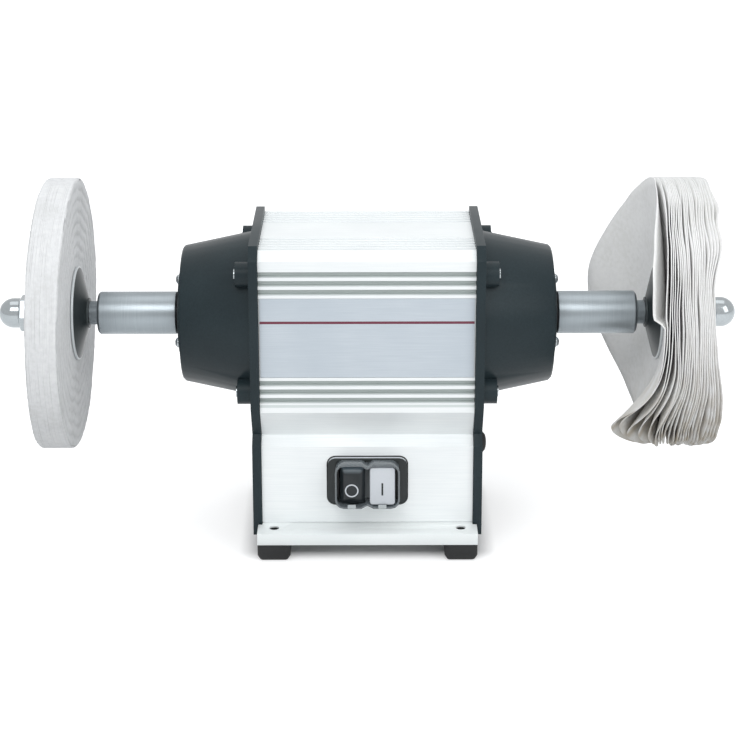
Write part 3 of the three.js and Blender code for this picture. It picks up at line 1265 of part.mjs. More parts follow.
// Assembly
const machine = new THREE.Group();
machine.name = 'bench_polishing_machine';
const atShaft = new THREE.Matrix4().makeTranslation(0, 0, shaftHeight);
const turnedRound = atShaft.clone().multiply(new THREE.Matrix4().makeRotationZ(Math.PI));

function add(mesh, placement) {
  mesh.updateMatrix();
  if (placement) mesh.applyMatrix4(placement);
  machine.add(mesh);
}

add(housingProfile());
add(frontLabel());

const seatX = bearingInnerX - SEAT_GAP;
const springSeatX = seatX - 2 * WAVE_HEIGHT - WAVE_WASHER_THICKNESS - SEAT_GAP;
add(endCap('left_end_cap', springSeatX, false), turnedRound);
add(endCap('right_end_cap', seatX, true), atShaft);
add(blankingPlug(), atShaft);
add(waveWasher('left_preload_washer'), turnedRound);

[['left', turnedRound], ['right', atShaft]].forEach(([side, placement]) => {
  bossPlaces().forEach(([y, z], index) => add(capBolt(`${side}_cap_bolt_${index + 1}`, y, z), placement));
  add(bearingOuterRing(`${side}_bearing_outer_ring`), placement);
  add(bearingInnerRing(`${side}_bearing_inner_ring`), placement);
  add(bearingCover(`${side}_bearing_cover`), placement);
  coverScrewPlaces().forEach(([y, z], index) => {
    add(coverScrew(`${side}_cover_screw_${index + 1}`, y, z), placement);
  });
  add(shaftSeal(`${side}_shaft_seal`), placement);
  add(windingHead(`${side}_winding_head`), placement);
  add(shaftExtension(`${side}_shaft_extension`), placement);
  add(clampFlange(`${side}_inner_flange`, buffInnerX - SEAT_GAP, neckEndX), placement);
  add(clampFlange(`${side}_outer_flange`, outerFlangeX, washerX - SEAT_GAP), placement);
  add(springWasher(`${side}_clamp_washer`), placement);
  add(capNut(`${side}_cap_nut`), placement);
});

add(statorCore(), atShaft);
add(rotorCore(), atShaft);
add(spindleShaft(), atShaft);
add(stitchedBuff(), atShaft);
add(looseBuff(), atShaft);

add(baseTray());
benchHolePlaces().forEach(([x, y]) => {
  const side = x < 0 ? 'left' : 'right';
  const end = y < 0 ? 'front' : 'back';
  add(foot(`${side}_${end}_foot`, x, y));
});

const panelY = (drop) => shoulderHalfDepth + (drop - shoulderDrop) * Math.tan(skirtTilt);
const onFrontPanel = new THREE.Matrix4()
  .makeTranslation(0, -panelY(switchDrop), shaftHeight - switchDrop)
  .multiply(new THREE.Matrix4().makeRotationX(Math.PI / 2 - skirtTilt));
add(switchBezel(), onFrontPanel);
add(switchGuard(), onFrontPanel);
add(switchBlock(), onFrontPanel);
add(switchButton(
  'stop_button',
  -BUTTON_CENTRE_X,
  STOP_FACE_WIDTH,
  STOP_FACE_HEIGHT,
  STOP_BEVEL,
  finishes.blackPlastic,
), onFrontPanel);
add(switchButton(
  'start_button',
  BUTTON_CENTRE_X,
  BUTTON_WIDTH - START_BEVEL,
  BUTTON_HEIGHT - START_BEVEL,
  START_BEVEL,
  finishes.whitePlastic,
), onFrontPanel);

add(capacitor());
add(capacitorClamp());
add(terminalBlock());
const onBackPanel = new THREE.Matrix4()
  .makeTranslation(glandX, panelY(glandDrop), shaftHeight - glandDrop)
  .multiply(new THREE.Matrix4().makeRotationX(skirtTilt - Math.PI / 2));
add(cableGland(), onBackPanel);

export default machine;
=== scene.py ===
"""Bench polishing machine with two cotton buffs: finishes, cloth and studio.

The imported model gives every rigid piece. This script dresses those pieces, makes the two
buffs as cloth, adds the small marks on the switch, and sets up the studio and the camera.
"""

from __future__ import annotations

import json
import logging
import math
from dataclasses import dataclass, field, replace
from enum import Enum
from functools import partial
from typing import Callable, Sequence, Union

import bmesh
import bpy
from mathutils import Matrix, Vector, noise

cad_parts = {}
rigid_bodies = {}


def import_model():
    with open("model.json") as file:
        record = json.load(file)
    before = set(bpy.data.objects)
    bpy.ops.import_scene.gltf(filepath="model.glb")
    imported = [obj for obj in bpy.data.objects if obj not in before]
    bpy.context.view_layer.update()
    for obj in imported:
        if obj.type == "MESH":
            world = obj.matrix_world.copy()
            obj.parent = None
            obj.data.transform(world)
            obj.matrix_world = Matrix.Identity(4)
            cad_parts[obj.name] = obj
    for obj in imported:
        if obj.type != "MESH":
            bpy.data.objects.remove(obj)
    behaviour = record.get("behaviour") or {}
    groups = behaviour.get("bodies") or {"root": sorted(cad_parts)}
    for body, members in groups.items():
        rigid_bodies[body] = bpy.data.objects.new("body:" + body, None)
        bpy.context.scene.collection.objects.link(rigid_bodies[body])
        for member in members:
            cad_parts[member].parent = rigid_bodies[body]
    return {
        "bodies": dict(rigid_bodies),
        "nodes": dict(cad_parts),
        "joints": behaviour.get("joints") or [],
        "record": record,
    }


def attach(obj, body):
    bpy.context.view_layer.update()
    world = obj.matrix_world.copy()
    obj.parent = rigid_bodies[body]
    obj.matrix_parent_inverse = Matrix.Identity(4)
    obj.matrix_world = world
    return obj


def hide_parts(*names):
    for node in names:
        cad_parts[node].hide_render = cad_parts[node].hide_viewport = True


LOG = logging.getLogger("polishing_machine")
MM = 0.001
SHAFT_HEIGHT = 206.3 * MM

Tree = bpy.types.NodeTree
Piece = bpy.types.Object
Pair = tuple[float, float]
Triple = tuple[float, float, float]
# What a node's input can be linked from: a socket, or a node whose first output it takes
Feed = Union[bpy.types.Node, bpy.types.NodeSocket]
Rows = list[list[bmesh.types.BMVert]]
# A turned profile as drawn: distances from the machine's middle, each with a radius, in millimetres
Profile = Sequence[Pair]
# Shares of a surface, each with the hex colour that it takes
Tints = list[tuple[Feed, str]]
# Gives x, radius and mark of the cloth's point at a section
Rule = Callable[[int], Triple]


def linear(hex_colour: str) -> tuple[float, float, float, float]:
    """Turn six sRGB hex digits, such as "c8ccd0", into linear red, green and blue, and an alpha of 1."""
    values = [channel / 255 for channel in bytes.fromhex(hex_colour)]
    red, green, blue = (v / 12.92 if v <= 0.04045 else ((v + 0.055) / 1.055) ** 2.4 for v in values)
    return (red, green, blue, 1.0)


def add_node(
    tree: Tree, kind: str, inputs: dict[str | int, object] | None = None, **settings: object
) -> bpy.types.Node:
    """Add one shader node with its settings, values and links.

    Args:
        tree: The node tree that takes the node.
        kind: The node's type name, without ShaderNode before it.
        inputs: Input names or numbers, each with a value, a socket, or a node to link from.
        **settings: Attributes of the node itself; stops are a colour ramp's places and hex colours.

    Returns:
        The new node.
    """
    node = tree.nodes.new(f"ShaderNode{kind}")
    stops = settings.pop("stops", ())
    for name, value in settings.items():
        setattr(node, name, value)
    for key, value in (inputs or {}).items():
        source = value.outputs[0] if isinstance(value, bpy.types.Node) else value
        if isinstance(source, bpy.types.NodeSocket):
            tree.links.new(source, node.inputs[key])
        else:
            node.inputs[key].default_value = source
    for index, (place, colour) in enumerate(stops):
        elements = node.color_ramp.elements
        element = elements[index] if index < len(elements) else elements.new(place)
        element.position = place
        element.color = linear(colour)
    return node


def emptied(owner: bpy.types.Material | bpy.types.World) -> Tree:
    """Give a material or world an empty node tree."""
    owner.use_nodes = True
    owner.node_tree.nodes.clear()
    return owner.node_tree


class Grain(Enum):
    """The way that a fine surface pattern runs."""

    EVEN = (1.0, 1.0, 1.0)
    ALONG_SPINDLE = (0.02, 1.0, 1.0)
    ROUND_SPINDLE = (1.0, 0.02, 0.02)


@dataclass(frozen=True)
class Finish:
    """A finish of one plain material with a fine pattern in colour and height.

    The pattern's grain is given in millimetres, from the way that the surface was made.
    """

    name: str
    colour: str
    shade: str
    metallic: float
    roughness: float
    grain_mm: float
    bump_mm: float
    grain: Grain = Grain.EVEN
    coat: float = 0.0
    sheen: float = 0.0
    transmission: float = 0.0
    ior: float = 1.5
    anisotropy: float = 0.0
    specular: float = 0.5
    # A pale colour that paints a highlight on the faces that look up; empty leaves none
    painted_top_highlight: str = ""

    def material(self) -> bpy.types.Material:
        """Build the finish as a material."""
        made = bpy.data.materials.new(self.name)
        tree = emptied(made)
        add = partial(add_node, tree)
        values = {
            **self.surface(tree, add("TexCoord").outputs["Object"]),
            "Metallic": self.metallic,
            "IOR": self.ior,
            "Specular IOR Level": self.specular,
            "Coat Weight": self.coat,
            "Sheen Weight": self.sheen,
            "Transmission Weight": self.transmission,
            "Anisotropic": self.anisotropy,
        }
        add("OutputMaterial", {0: add("BsdfPrincipled", values)})
        return made

    def surface(self, tree: Tree, place: Feed) -> dict[str, object]:
        """Lay out the finish's two tones, its roughness and its fine relief.

        Args:
            tree: The material's node tree.
            place: Object coordinates.

        Returns:
            The shader's inputs for colour, roughness and normal.
        """
        add = partial(add_node, tree)
        stretched = add("Mapping", {"Vector": place, "Scale": self.grain.value})
        fine = {"Vector": stretched, "Scale": 1 / (self.grain_mm * MM), "Detail": 3.0, "Roughness": 0.55}
        speckle = add("TexNoise", fine)
        cloud = add("TexNoise", {"Vector": place, "Scale": 18.0, "Detail": 2.0})
        mixed = add("Math", {0: speckle, 1: cloud}, operation="MULTIPLY")
        spread = add("MapRange", {0: mixed, 1: 0.12, 2: 0.4, 3: 1.0, 4: 0.0})
        tones = add("ValToRGB", {0: spread}, stops=[(0.0, self.colour), (1.0, self.shade)])
        low, high = self.roughness * 0.9, self.roughness * 1.12
        relief = {"Height": speckle, "Strength": 0.6, "Distance": self.bump_mm * MM}
        return {
            "Base Color": self.tinted(tree, place, tones),
            "Roughness": add("MapRange", {0: cloud, 1: 0.35, 2: 0.65, 3: low, 4: high}),
            "Normal": add("Bump", relief),
        }

    def tinted(self, tree: Tree, place: Feed, colour: Feed) -> Feed:
        """Lay each tint over a colour."""
        for share, tint in self.tints(tree, place):
            inputs = {0: share, 6: colour, 7: linear(tint)}
            colour = add_node(tree, "Mix", inputs, data_type="RGBA").outputs[2]
        return colour

    def tints(self, tree: Tree, place: Feed) -> Tints:
        """List what takes another colour, over the object coordinates: here a painted highlight on the faces
        that look up.
        """
        add = partial(add_node, tree)
        if not self.painted_top_highlight:
            return []
        # Painted highlight: the more a face looks up, the more of the pale colour it takes
        facing = add("NewGeometry").outputs["Normal"]
        upward = add("SeparateXYZ", {0: facing}).outputs[2]
        return [(add("MapRange", {0: upward, 1: 0.35, 2: 0.6, 3: 0.0, 4: 1.0}), self.painted_top_highlight)]


@dataclass(frozen=True)
class RimmedFinish(Finish):
    """A flange's finish, with the thin rim turned bright after the rest was blackened."""

    rim_colour: str = "c9ced0"
    rim_radius_mm: float = 41.6
    rim_fade_mm: float = 0.6

    def tints(self, tree: Tree, place: Feed) -> Tints:
        """Brighten what lies past the rim's radius round the spindle."""
        add = partial(add_node, tree)
        centred = add("VectorMath", {0: place, 1: (0, 0, -SHAFT_HEIGHT)})
        flat = add("VectorMath", {0: centred, 1: (0, 1, 1)}, operation="MULTIPLY")
        radius = add("VectorMath", {0: flat}, operation="LENGTH").outputs["Value"]
        edge = self.rim_radius_mm * MM
        fade = {0: radius, 1: edge, 2: edge + self.rim_fade_mm * MM, 3: 0.0, 4: 1.0}
        return [(add("MapRange", fade), self.rim_colour)]


@dataclass(frozen=True)
class LinedFoil(Finish):
    """The bare label: brushed foil with one thin printed line across it."""

    line_colour: str = "6b3040"
    line_height_mm: float = 220.8
    line_width_mm: float = 2.4

    def tints(self, tree: Tree, place: Feed) -> Tints:
        """Lay the line over the foil at its height."""
        height = add_node(tree, "SeparateXYZ", {0: place}).outputs[2]
        band = {0: height, 1: self.line_height_mm * MM, 2: self.line_width_mm * MM / 2}
        return [(add_node(tree, "Math", band, operation="COMPARE"), self.line_colour)]


@dataclass(frozen=True)
class RibbedExtrusion(Finish):
    """The housing's finish: satin ribs, painted shade down in the grooves, and one painted shade line across
    the front and back faces.
    """

    # Painted shade in the grooves, darker with depth, on the front and back and on the top
    groove_shade_colour: str = "b2bab8"
    top_groove_shade_colour: str = "b4bcc0"
    groove_mm: float = 5.0
    face_mm: float = 75.8
    top_mm: float = 285.2
    shoulder_mm: float = 67.5
    rib_reach_mm: float = 63.0
    # A band of painted shade where a shallow groove would be, on the front and back faces; the extrusion's
    # shape has no groove there
    shade_line_mm: float = 142.2
    shade_line_width_mm: float = 2.6
    shade_line_colour: str = "cdd4d3"

    def tints(self, tree: Tree, place: Feed) -> Tints:
        """Paint shade into the grooves of the front, the back and the top, darker with their depth, and paint
        the shade line.
        """
        add = partial(add_node, tree)
        axes = add("SeparateXYZ", {0: place})
        side = add("Math", {0: axes.outputs[1]}, operation="ABSOLUTE")
        height = axes.outputs[2]
        rise = add("Math", {0: height, 1: SHAFT_HEIGHT}, operation="SUBTRACT")
        away = add("Math", {0: rise}, operation="ABSOLUTE")
        # Painted shade line at one height, on the front and back faces only
        band = {0: height, 1: self.shade_line_mm * MM, 2: self.shade_line_width_mm * MM / 2}
        near = add("Math", band, operation="COMPARE")
        facing = add("Math", {0: side, 1: (self.face_mm - 0.3) * MM}, operation="GREATER_THAN")
        return [
            # Painted shade: the grooves by their depth, then the shade line
            (self.groove_shade_share(tree, side, self.face_mm, away, self.rib_reach_mm), self.groove_shade_colour),
            (self.groove_shade_share(tree, height, self.top_mm, side, self.shoulder_mm), self.top_groove_shade_colour),
            (add("Math", {0: near, 1: facing}, operation="MULTIPLY"), self.shade_line_colour),
        ]

    def groove_shade_share(self, tree: Tree, height: Feed, face_mm: float, across: Feed, reach_mm: float) -> Feed:
        """Tell how far down in a groove a point lies, which is how much painted shade it takes.

        Args:
            tree: The material's node tree.
            height: The point's place square to the ribbed face.
            face_mm: Where the ribs end, on the same line.
            across: The point's place across the ribs.
            reach_mm: How far from the middle the ribs go.

        Returns:
            0 on the ribs and past their reach, up to 1 on the grooves' floor.
        """
        add = partial(add_node, tree)
        high, low = (face_mm - 0.5) * MM, (face_mm - 2.6) * MM
        floor = (face_mm - self.groove_mm) * MM
        share = add("MapRange", {0: height, 1: low, 2: high, 3: 1.0, 4: 0.0})
        within = add("Math", {0: across, 1: reach_mm * MM}, operation="LESS_THAN")
        shallow = add("Math", {0: height, 1: floor}, operation="GREATER_THAN")
        for limit in (within, shallow):
            share = add("Math", {0: share, 1: limit}, operation="MULTIPLY")
        return share


@dataclass(frozen=True)
class WovenCotton(Finish):
    """Unbleached calico, woven square.

    Real threads lie about 0.5 mm apart. The weave is drawn at thread_mm, coarse enough to show.
    """

    thread_mm: float = 1.3
    bright: str = "f3f3f2"
    # Painted shade in the seams and between the layers of the sewn buff
    layer_shade_colour: str = "b9b7b1"
    # A browner, darker tint toward the lower front of the loose stack
    lower_front_colour: str = "b6ab98"

    def surface(self, tree: Tree, place: Feed) -> dict[str, object]:
        """Weave the cloth on the piece's own flat pattern, with thicker and thinner threads."""
        add = partial(add_node, tree)
        flat = add("UVMap", uv_map="flat_cut")
        bands = {0: flat, "Scale": 1 / (self.thread_mm * MM) / 3.2, "Distortion": 1.2}
        warp, weft = (add("TexWave", bands, bands_direction=way).outputs[1] for way in "XY")
        weave = add("Math", {0: warp, 1: weft}, operation="MULTIPLY")
        slub = add("TexNoise", {"Vector": place, "Scale": 240.0, "Detail": 4.0})
        cloud = add("TexNoise", {"Vector": place, "Scale": 22.0, "Detail": 3.0})
        tone = add("Math", {0: slub, 1: cloud}, operation="ADD")
        spread = add("MapRange", {0: tone, 1: 0.8, 2: 1.25, 3: 0.0, 4: 1.0})
        stops = [(0.0, self.shade), (0.5, self.colour), (1.0, self.bright)]
        height = add("Math", {0: weave, 1: slub}, operation="ADD")
        relief = {"Height": height, "Strength": 0.7, "Distance": self.bump_mm * MM}
        return {
            "Base Color": self.tinted(tree, place, add("ValToRGB", {0: spread}, stops=stops)),
            "Roughness": self.roughness,
            "Normal": add("Bump", relief),
        }

    def tints(self, tree: Tree, place: Feed) -> Tints:
        """Paint shade into the cloth in its seams and deep between its layers, and make it browner and darker
        where the mesh marks the loose stack's lower front.
        """
        layers = (("layer_depth", self.layer_shade_colour), ("lower_front_tint", self.lower_front_colour))
        return [
            (add_node(tree, "Attribute", attribute_name=name).outputs["Fac"], tint) for name, tint in layers
        ]


# Moulded rubber: black and dry
MOULDED_RUBBER = Finish("moulded_rubber", "161718", "1e1f20", 0.0, 0.75, 0.8, 0.03)
# Moulded ABS, black with a spark-eroded grain
BLACK_ABS = Finish("black_moulded_abs", "1f2526", "1a1f20", 0.0, 0.36, 0.5, 0.012, specular=0.4)
# The same ABS on the bezel, with a painted highlight on its upper edge
EDGE_HIGHLIT_ABS = replace(BLACK_ABS, name="black_abs_painted_edge_highlight", painted_top_highlight="c6cbcf")
# The same ABS on the stop button, with a painted reflection on its upper slope
TOP_REFLECTING_ABS = Finish(
    "black_abs_painted_top_reflection", "1c2226", "171c1f", 0.0, 0.3, 0.5, 0.01, specular=0.4, painted_top_highlight="5d6a72"
)
# Moulded ABS, light grey with a cold tint
WHITE_ABS = Finish("grey_white_moulded_abs", "ccd0d5", "c2c7cc", 0.0, 0.35, 0.5, 0.01)
# The same ABS on the guard's catches, under the tinted cover
CATCH_ABS = Finish("grey_moulded_abs", "b3b9ba", "a9afb1", 0.0, 0.4, 0.5, 0.01)
# Unbleached calico, new and nearly white
CALICO = WovenCotton("unbleached_calico", "efefee", "e9e9e7", 0.0, 0.92, 1.0, 0.1, sheen=0.2)
# The same calico sewn in rings, given a greyer tone as painted shade, since the key lamp lights this buff
# more than the loose one
SHADED_STITCHED_CALICO = replace(
    CALICO, name="stitched_calico_painted_greyer", colour="dcddde", shade="d5d6d6", bright="e2e3e3", layer_shade_colour="adaead"
)

FINISH_OF_SLOT: dict[str, Finish] = {
    # Satin anodised aluminium extrusion: nearly white, faint draw lines in its grain, painted shade down in
    # the grooves and one painted shade line
    "satin_profile": RibbedExtrusion(
        "anodised_aluminium_extrusion", "eff2f2", "e6eaeb", 0.2, 0.42, 0.9, 0.004, Grain.ALONG_SPINDLE
    ),
    # Stoved enamel on pressure die-castings: blue-black, slight orange peel
    "dark_castings": Finish(
        "stoved_enamel_on_casting", "2a3539", "242e32", 0.0, 0.34, 1.6, 0.016, specular=0.15
    ),
    # Brushed foil label, left bare but for one line
    "foil_label": LinedFoil(
        "brushed_foil_label", "c2cad1", "b7c0c8", 0.2, 0.45, 0.6, 0.01, Grain.ALONG_SPINDLE
    ),
    # Nickel-chrome plate: nearly a mirror
    "bright_fasteners": Finish("nickel_chrome_plate", "a9afb2", "9fa5a8", 1.0, 0.12, 2.0, 0.003),
    # Fine-turned bare steel: rings round the spindle
    "turned_steel": Finish(
        "fine_turned_steel", "a1a9ae", "949ca1", 0.9, 0.38, 0.5, 0.006, Grain.ROUND_SPINDLE, anisotropy=0.4
    ),
    # Blackened turned flange with a bright rim
    "dark_flanges": RimmedFinish(
        "blackened_turned_flange", "2b3335", "252c2e", 0.4, 0.42, 0.7, 0.008, Grain.ROUND_SPINDLE
    ),
    # Powder coat on folded sheet: white, very fine grain
    "white_sheet": Finish("white_powder_coat", "eef2f1", "e6ebeb", 0.0, 0.42, 0.7, 0.02),
    "black_rubber": MOULDED_RUBBER,
    "black_plastic": BLACK_ABS,
    "white_plastic": WHITE_ABS,
    # Smoke-tinted polycarbonate guard: glossy, half see-through
    "smoke_guard": Finish(
        "tinted_polycarbonate", "8f979c", "858d92", 0.0, 0.16, 3.0, 0.003, transmission=0.55, ior=1.58
    ),
    # Moulded polyamide for electrical pieces: matt grey
    "grey_plastic": Finish("grey_polyamide", "9da3a6", "92989b", 0.0, 0.5, 0.6, 0.02),
    # Stacked electrical sheet: dull, with fine rings
    "laminations": Finish(
        "stacked_electrical_sheet", "7c8083", "63676a", 0.9, 0.45, 0.5, 0.03, Grain.ROUND_SPINDLE
    ),
    # Varnished copper winding: warm, under a clear coat
    "copper_winding": Finish("varnished_copper", "a9683c", "8d5230", 0.7, 0.35, 1.2, 0.2, coat=0.4),
    "buff_cloth": CALICO,
}


class Model:
    """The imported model: its pieces, what the record says of them, and one material for each finish."""

    def __init__(self, frame: dict) -> None:
        """Keep the loaded pieces, and look up each piece's body and slot."""
        self.nodes: dict[str, Piece] = frame["nodes"]
        record = frame["record"]
        bodies = record["behaviour"]["bodies"]
        self.body_of = {node: body for body, nodes in bodies.items() for node in nodes}
        self.slot_of = {entry["node"]: entry["material_slot"] for entry in record["subparts"]}
        self.made: dict[str, bpy.types.Material] = {}

    def get(self, finish: Finish) -> bpy.types.Material:
        """Give a finish's material, made the first time that it is asked for."""
        if finish.name not in self.made:
            self.made[finish.name] = finish.material()
        return self.made[finish.name]

    def dress(self, piece: Piece, finish: Finish) -> None:
        """Put one finish all over a piece."""
        piece.data.materials.clear()
        piece.data.materials.append(self.get(finish))

    def dress_packed(self) -> None:
        """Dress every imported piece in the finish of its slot."""
        for node, slot in self.slot_of.items():
            piece, finish = self.nodes[node], FINISH_OF_SLOT[slot]
            if piece.data.materials:
                for place in range(len(piece.data.materials)):
                    piece.data.materials[place] = self.get(finish)
            else:
                piece.data.materials.append(self.get(finish))
            LOG.info("%s wears %s", piece.name, finish.name)

    def stand_in(self, piece: Piece, node: str, finish: Finish | None = None) -> None:
        """Let a new piece stand for a packed one, in the given finish or else in its slot's."""
        slot = self.slot_of[node]
        self.dress(piece, finish or FINISH_OF_SLOT[slot])
        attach(piece, self.body_of[node])
        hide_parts(node)
        LOG.info("%s stands for %s", piece.name, node)


def ripple(angle: float, reach: float, seed: float) -> float:
    """Give the smooth, closed waviness of a cloth disc.

    Args:
        angle: The angle round the spindle, in radians.
        reach: How far out on the disc, as a share from 0 to 1.
        seed: A different number gives a different disc.

    Returns:
        A height from about -1 to 1.
    """
    ring = 1.6 + 1.1 * reach
    return noise.noise(Vector((ring * math.cos(angle), ring * math.sin(angle), seed)))


def bell(angle: float, crest_deg: float, spread_deg: float) -> float:
    """Give 1 at a crest angle, falling smoothly to 0 away from it."""
    crest = math.radians(crest_deg)
    away = math.atan2(math.sin(angle - crest), math.cos(angle - crest))
    return math.exp(-(away**2) / (2 * math.radians(spread_deg) ** 2))


def ease(value: float) -> float:
    """Ease a value from 0 to 1."""
    clipped = min(1.0, max(0.0, value))
    return clipped * clipped * (3 - 2 * clipped)


def round_spindle(x: float, radius: float, angle: float) -> Vector:
    """Place a point round the spindle: angle 0 is up and a quarter turn is to the back."""
    return Vector((x, radius * math.sin(angle), SHAFT_HEIGHT + radius * math.cos(angle)))


def sewn(
    name: str, mark: str, rules: list[Rule], cuts: list[float], sections: int, closed: bool
) -> Piece:
    """Lay cloth between rows of points that go round the spindle.

    Each face's UV is its place on the flat disc that the cloth was cut as.

    Args:
        name: The piece's name.
        mark: The attribute that marks the cloth: painted shade on the sewn buff, and a browner tint on the
            loose one.
        rules: One rule for each row.
        cuts: Each row's radius on the flat disc.
        sections: How many points go round.
        closed: Whether the last row meets the first.

    Returns:
        The new object at the origin, smooth shaded.
    """
    work = bmesh.new()
    layer = work.verts.layers.float.new(mark)
    rows: Rows = []
    for rule in rules:
        row = []
        for section in range(sections):
            x, radius, marked = rule(section)
            row.append(work.verts.new(round_spindle(x, radius, 2 * math.pi * section / sections)))
            row[-1][layer] = marked
        rows.append(row)
    flat = work.loops.layers.uv.new("flat_cut")
    for row in range(len(rows) if closed else len(rows) - 1):
        after = (row + 1) % len(rows)
        for section in range(sections):
            spots = ((row, section), (after, section), (after, section + 1), (row, section + 1))
            face = work.faces.new([rows[r][s % sections] for r, s in spots])
            face.smooth = True
            for loop, (r, s) in zip(face.loops, spots):
                turn = 2 * math.pi * s / sections
                loop[flat].uv = (cuts[r] * math.sin(turn), cuts[r] * math.cos(turn))
    if closed:
        bmesh.ops.recalc_face_normals(work, faces=work.faces)
    mesh = bpy.data.meshes.new(name)
    work.to_mesh(mesh)
    work.free()
    return added(name, mesh)


def added(name: str, data: bpy.types.ID, place: Vector | None = None) -> Piece:
    """Add an object to the scene, at the origin or at a place."""
    piece = bpy.data.objects.new(name, data)
    piece.location = place or (0.0, 0.0, 0.0)
    bpy.context.scene.collection.objects.link(piece)
    return piece


def pick_all() -> None:
    """Select the whole mesh in edit mode."""
    bpy.ops.mesh.select_all(action="SELECT")


def close_up() -> None:
    """Turn the edited mesh's faces outwards and leave edit mode."""
    pick_all()
    bpy.ops.mesh.normals_make_consistent(inside=False)
    bpy.ops.object.mode_set(mode="OBJECT")


def alone(piece: Piece) -> None:
    """Select one object and nothing else, and make it active."""
    bpy.ops.object.select_all(action="DESELECT")
    piece.select_set(True)
    bpy.context.view_layer.objects.active = piece


def eased(piece: Piece, width: float, corner_deg: float = 40.0) -> None:
    """Round a piece's corners a little and shade the rest smooth.

    Args:
        piece: The piece, with one object and one mesh.
        width: How wide each rounded edge is, in metres; 0 leaves them sharp.
        corner_deg: Faces that meet at more than this make a corner.
    """
    alone(piece)
    if width > 0:
        bevel = piece.modifiers.new("eased_edges", "BEVEL")
        bevel.width = width
        bevel.segments = 2
        bevel.limit_method = "ANGLE"
        bevel.angle_limit = math.radians(corner_deg)
        bevel.use_clamp_overlap = True
        bpy.ops.object.modifier_apply(modifier=bevel.name)
    bpy.ops.object.shade_smooth_by_angle(angle=math.radians(corner_deg))


def turned(name: str, side: int, profile: Profile, bored: bool = False, sections: int = 96) -> Piece:
    """Turn a piece round the spindle's axis, as on a lathe.

    A ring is drawn out along X and sized anew at each point of the profile.

    Args:
        name: The piece's name.
        side: 1 for the right end and -1 for the left.
        profile: Distances from the machine's middle along X, each with a radius, in millimetres.
        bored: Whether the piece is open through the middle, from the last point to the first.
        sections: How many faces go round.

    Returns:
        The turned piece, with its place in its mesh.
    """
    here, size = side * profile[0][0] * MM, profile[0][1] * MM
    bpy.ops.object.select_all(action="DESELECT")
    bpy.ops.mesh.primitive_circle_add(
        vertices=sections,
        radius=size,
        fill_type="NOTHING" if bored else "NGON",
        location=(here, 0.0, SHAFT_HEIGHT),
        rotation=(0.0, math.pi / 2, 0.0),
    )
    piece = bpy.context.object
    piece.name = name
    bpy.ops.object.transform_apply(location=True, rotation=True, scale=True)
    bpy.ops.object.mode_set(mode="EDIT")
    pick_all()
    for distance, radius in profile[1:]:
        there, wanted = side * distance * MM, radius * MM
        bpy.ops.mesh.extrude_region_move(TRANSFORM_OT_translate={"value": (there - here, 0.0, 0.0)})
        ratio = wanted / size
        bpy.ops.transform.resize(value=(1.0, ratio, ratio), center_override=(there, 0.0, SHAFT_HEIGHT))
        here, size = there, wanted
    if bored:
        bpy.ops.mesh.select_all(action="DESELECT")
        bpy.ops.mesh.select_mode(type="EDGE")
        bpy.ops.mesh.select_non_manifold()
        bpy.ops.mesh.bridge_edge_loops()
    close_up()
    return piece


@dataclass
class EasedPieces:
    """Castings, mouldings and bought pieces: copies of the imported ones, merged, eased and shaded smooth."""

    merge: float = 0.01 * MM
    flat_deg: float = 0.4
    edges_mm: dict[str, float] = field(
        default_factory=lambda: {
            "end_cap": 0.5,
            "shaft_seal": 0.3,
            "outer_flange": 0.3,
            "clamp_washer": 0.2,
            "side_plug": 0.2,
            "cable_gland": 0.3,
            "switch_bezel": 1.4,
            "switch_guard": 0.3,
            "stop_button": 0.3,
            "start_button": 0.5,
            "front_foot": 0.8,
            "back_foot": 0.8,
            "base_tray": 0.5,
        }
    )
    bolt_mm: float = 0.25
    # The bezel and the stop button wear finishes with painted light on the faces that look up
    own_finishes: dict[str, Finish] = field(
        default_factory=lambda: {"stop_button": TOP_REFLECTING_ABS, "switch_bezel": EDGE_HIGHLIT_ABS}
    )

    def build(self, model: Model) -> None:
        """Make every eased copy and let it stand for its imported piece."""
        wanted = {}
        for name, width in self.edges_mm.items():
            names = [name] if name in model.nodes else [f"left_{name}", f"right_{name}"]
            wanted.update(dict.fromkeys(names, width))
        screws = [node for node in model.nodes if "_bolt_" in node or "_screw_" in node]
        wanted.update(dict.fromkeys(screws, self.bolt_mm))
        for node, width in wanted.items():
            source = model.nodes[node]
            piece = added(f"{node}_eased", source.data.copy())
            alone(piece)
            bpy.ops.mesh.customdata_custom_splitnormals_clear()
            bpy.ops.object.mode_set(mode="EDIT")
            pick_all()
            bpy.ops.mesh.remove_doubles(threshold=self.merge)
            bpy.ops.mesh.dissolve_limited(angle_limit=math.radians(self.flat_deg))
            bpy.ops.object.mode_set(mode="OBJECT")
            eased(piece, width * MM)
            model.stand_in(piece, node, self.own_finishes.get(node))


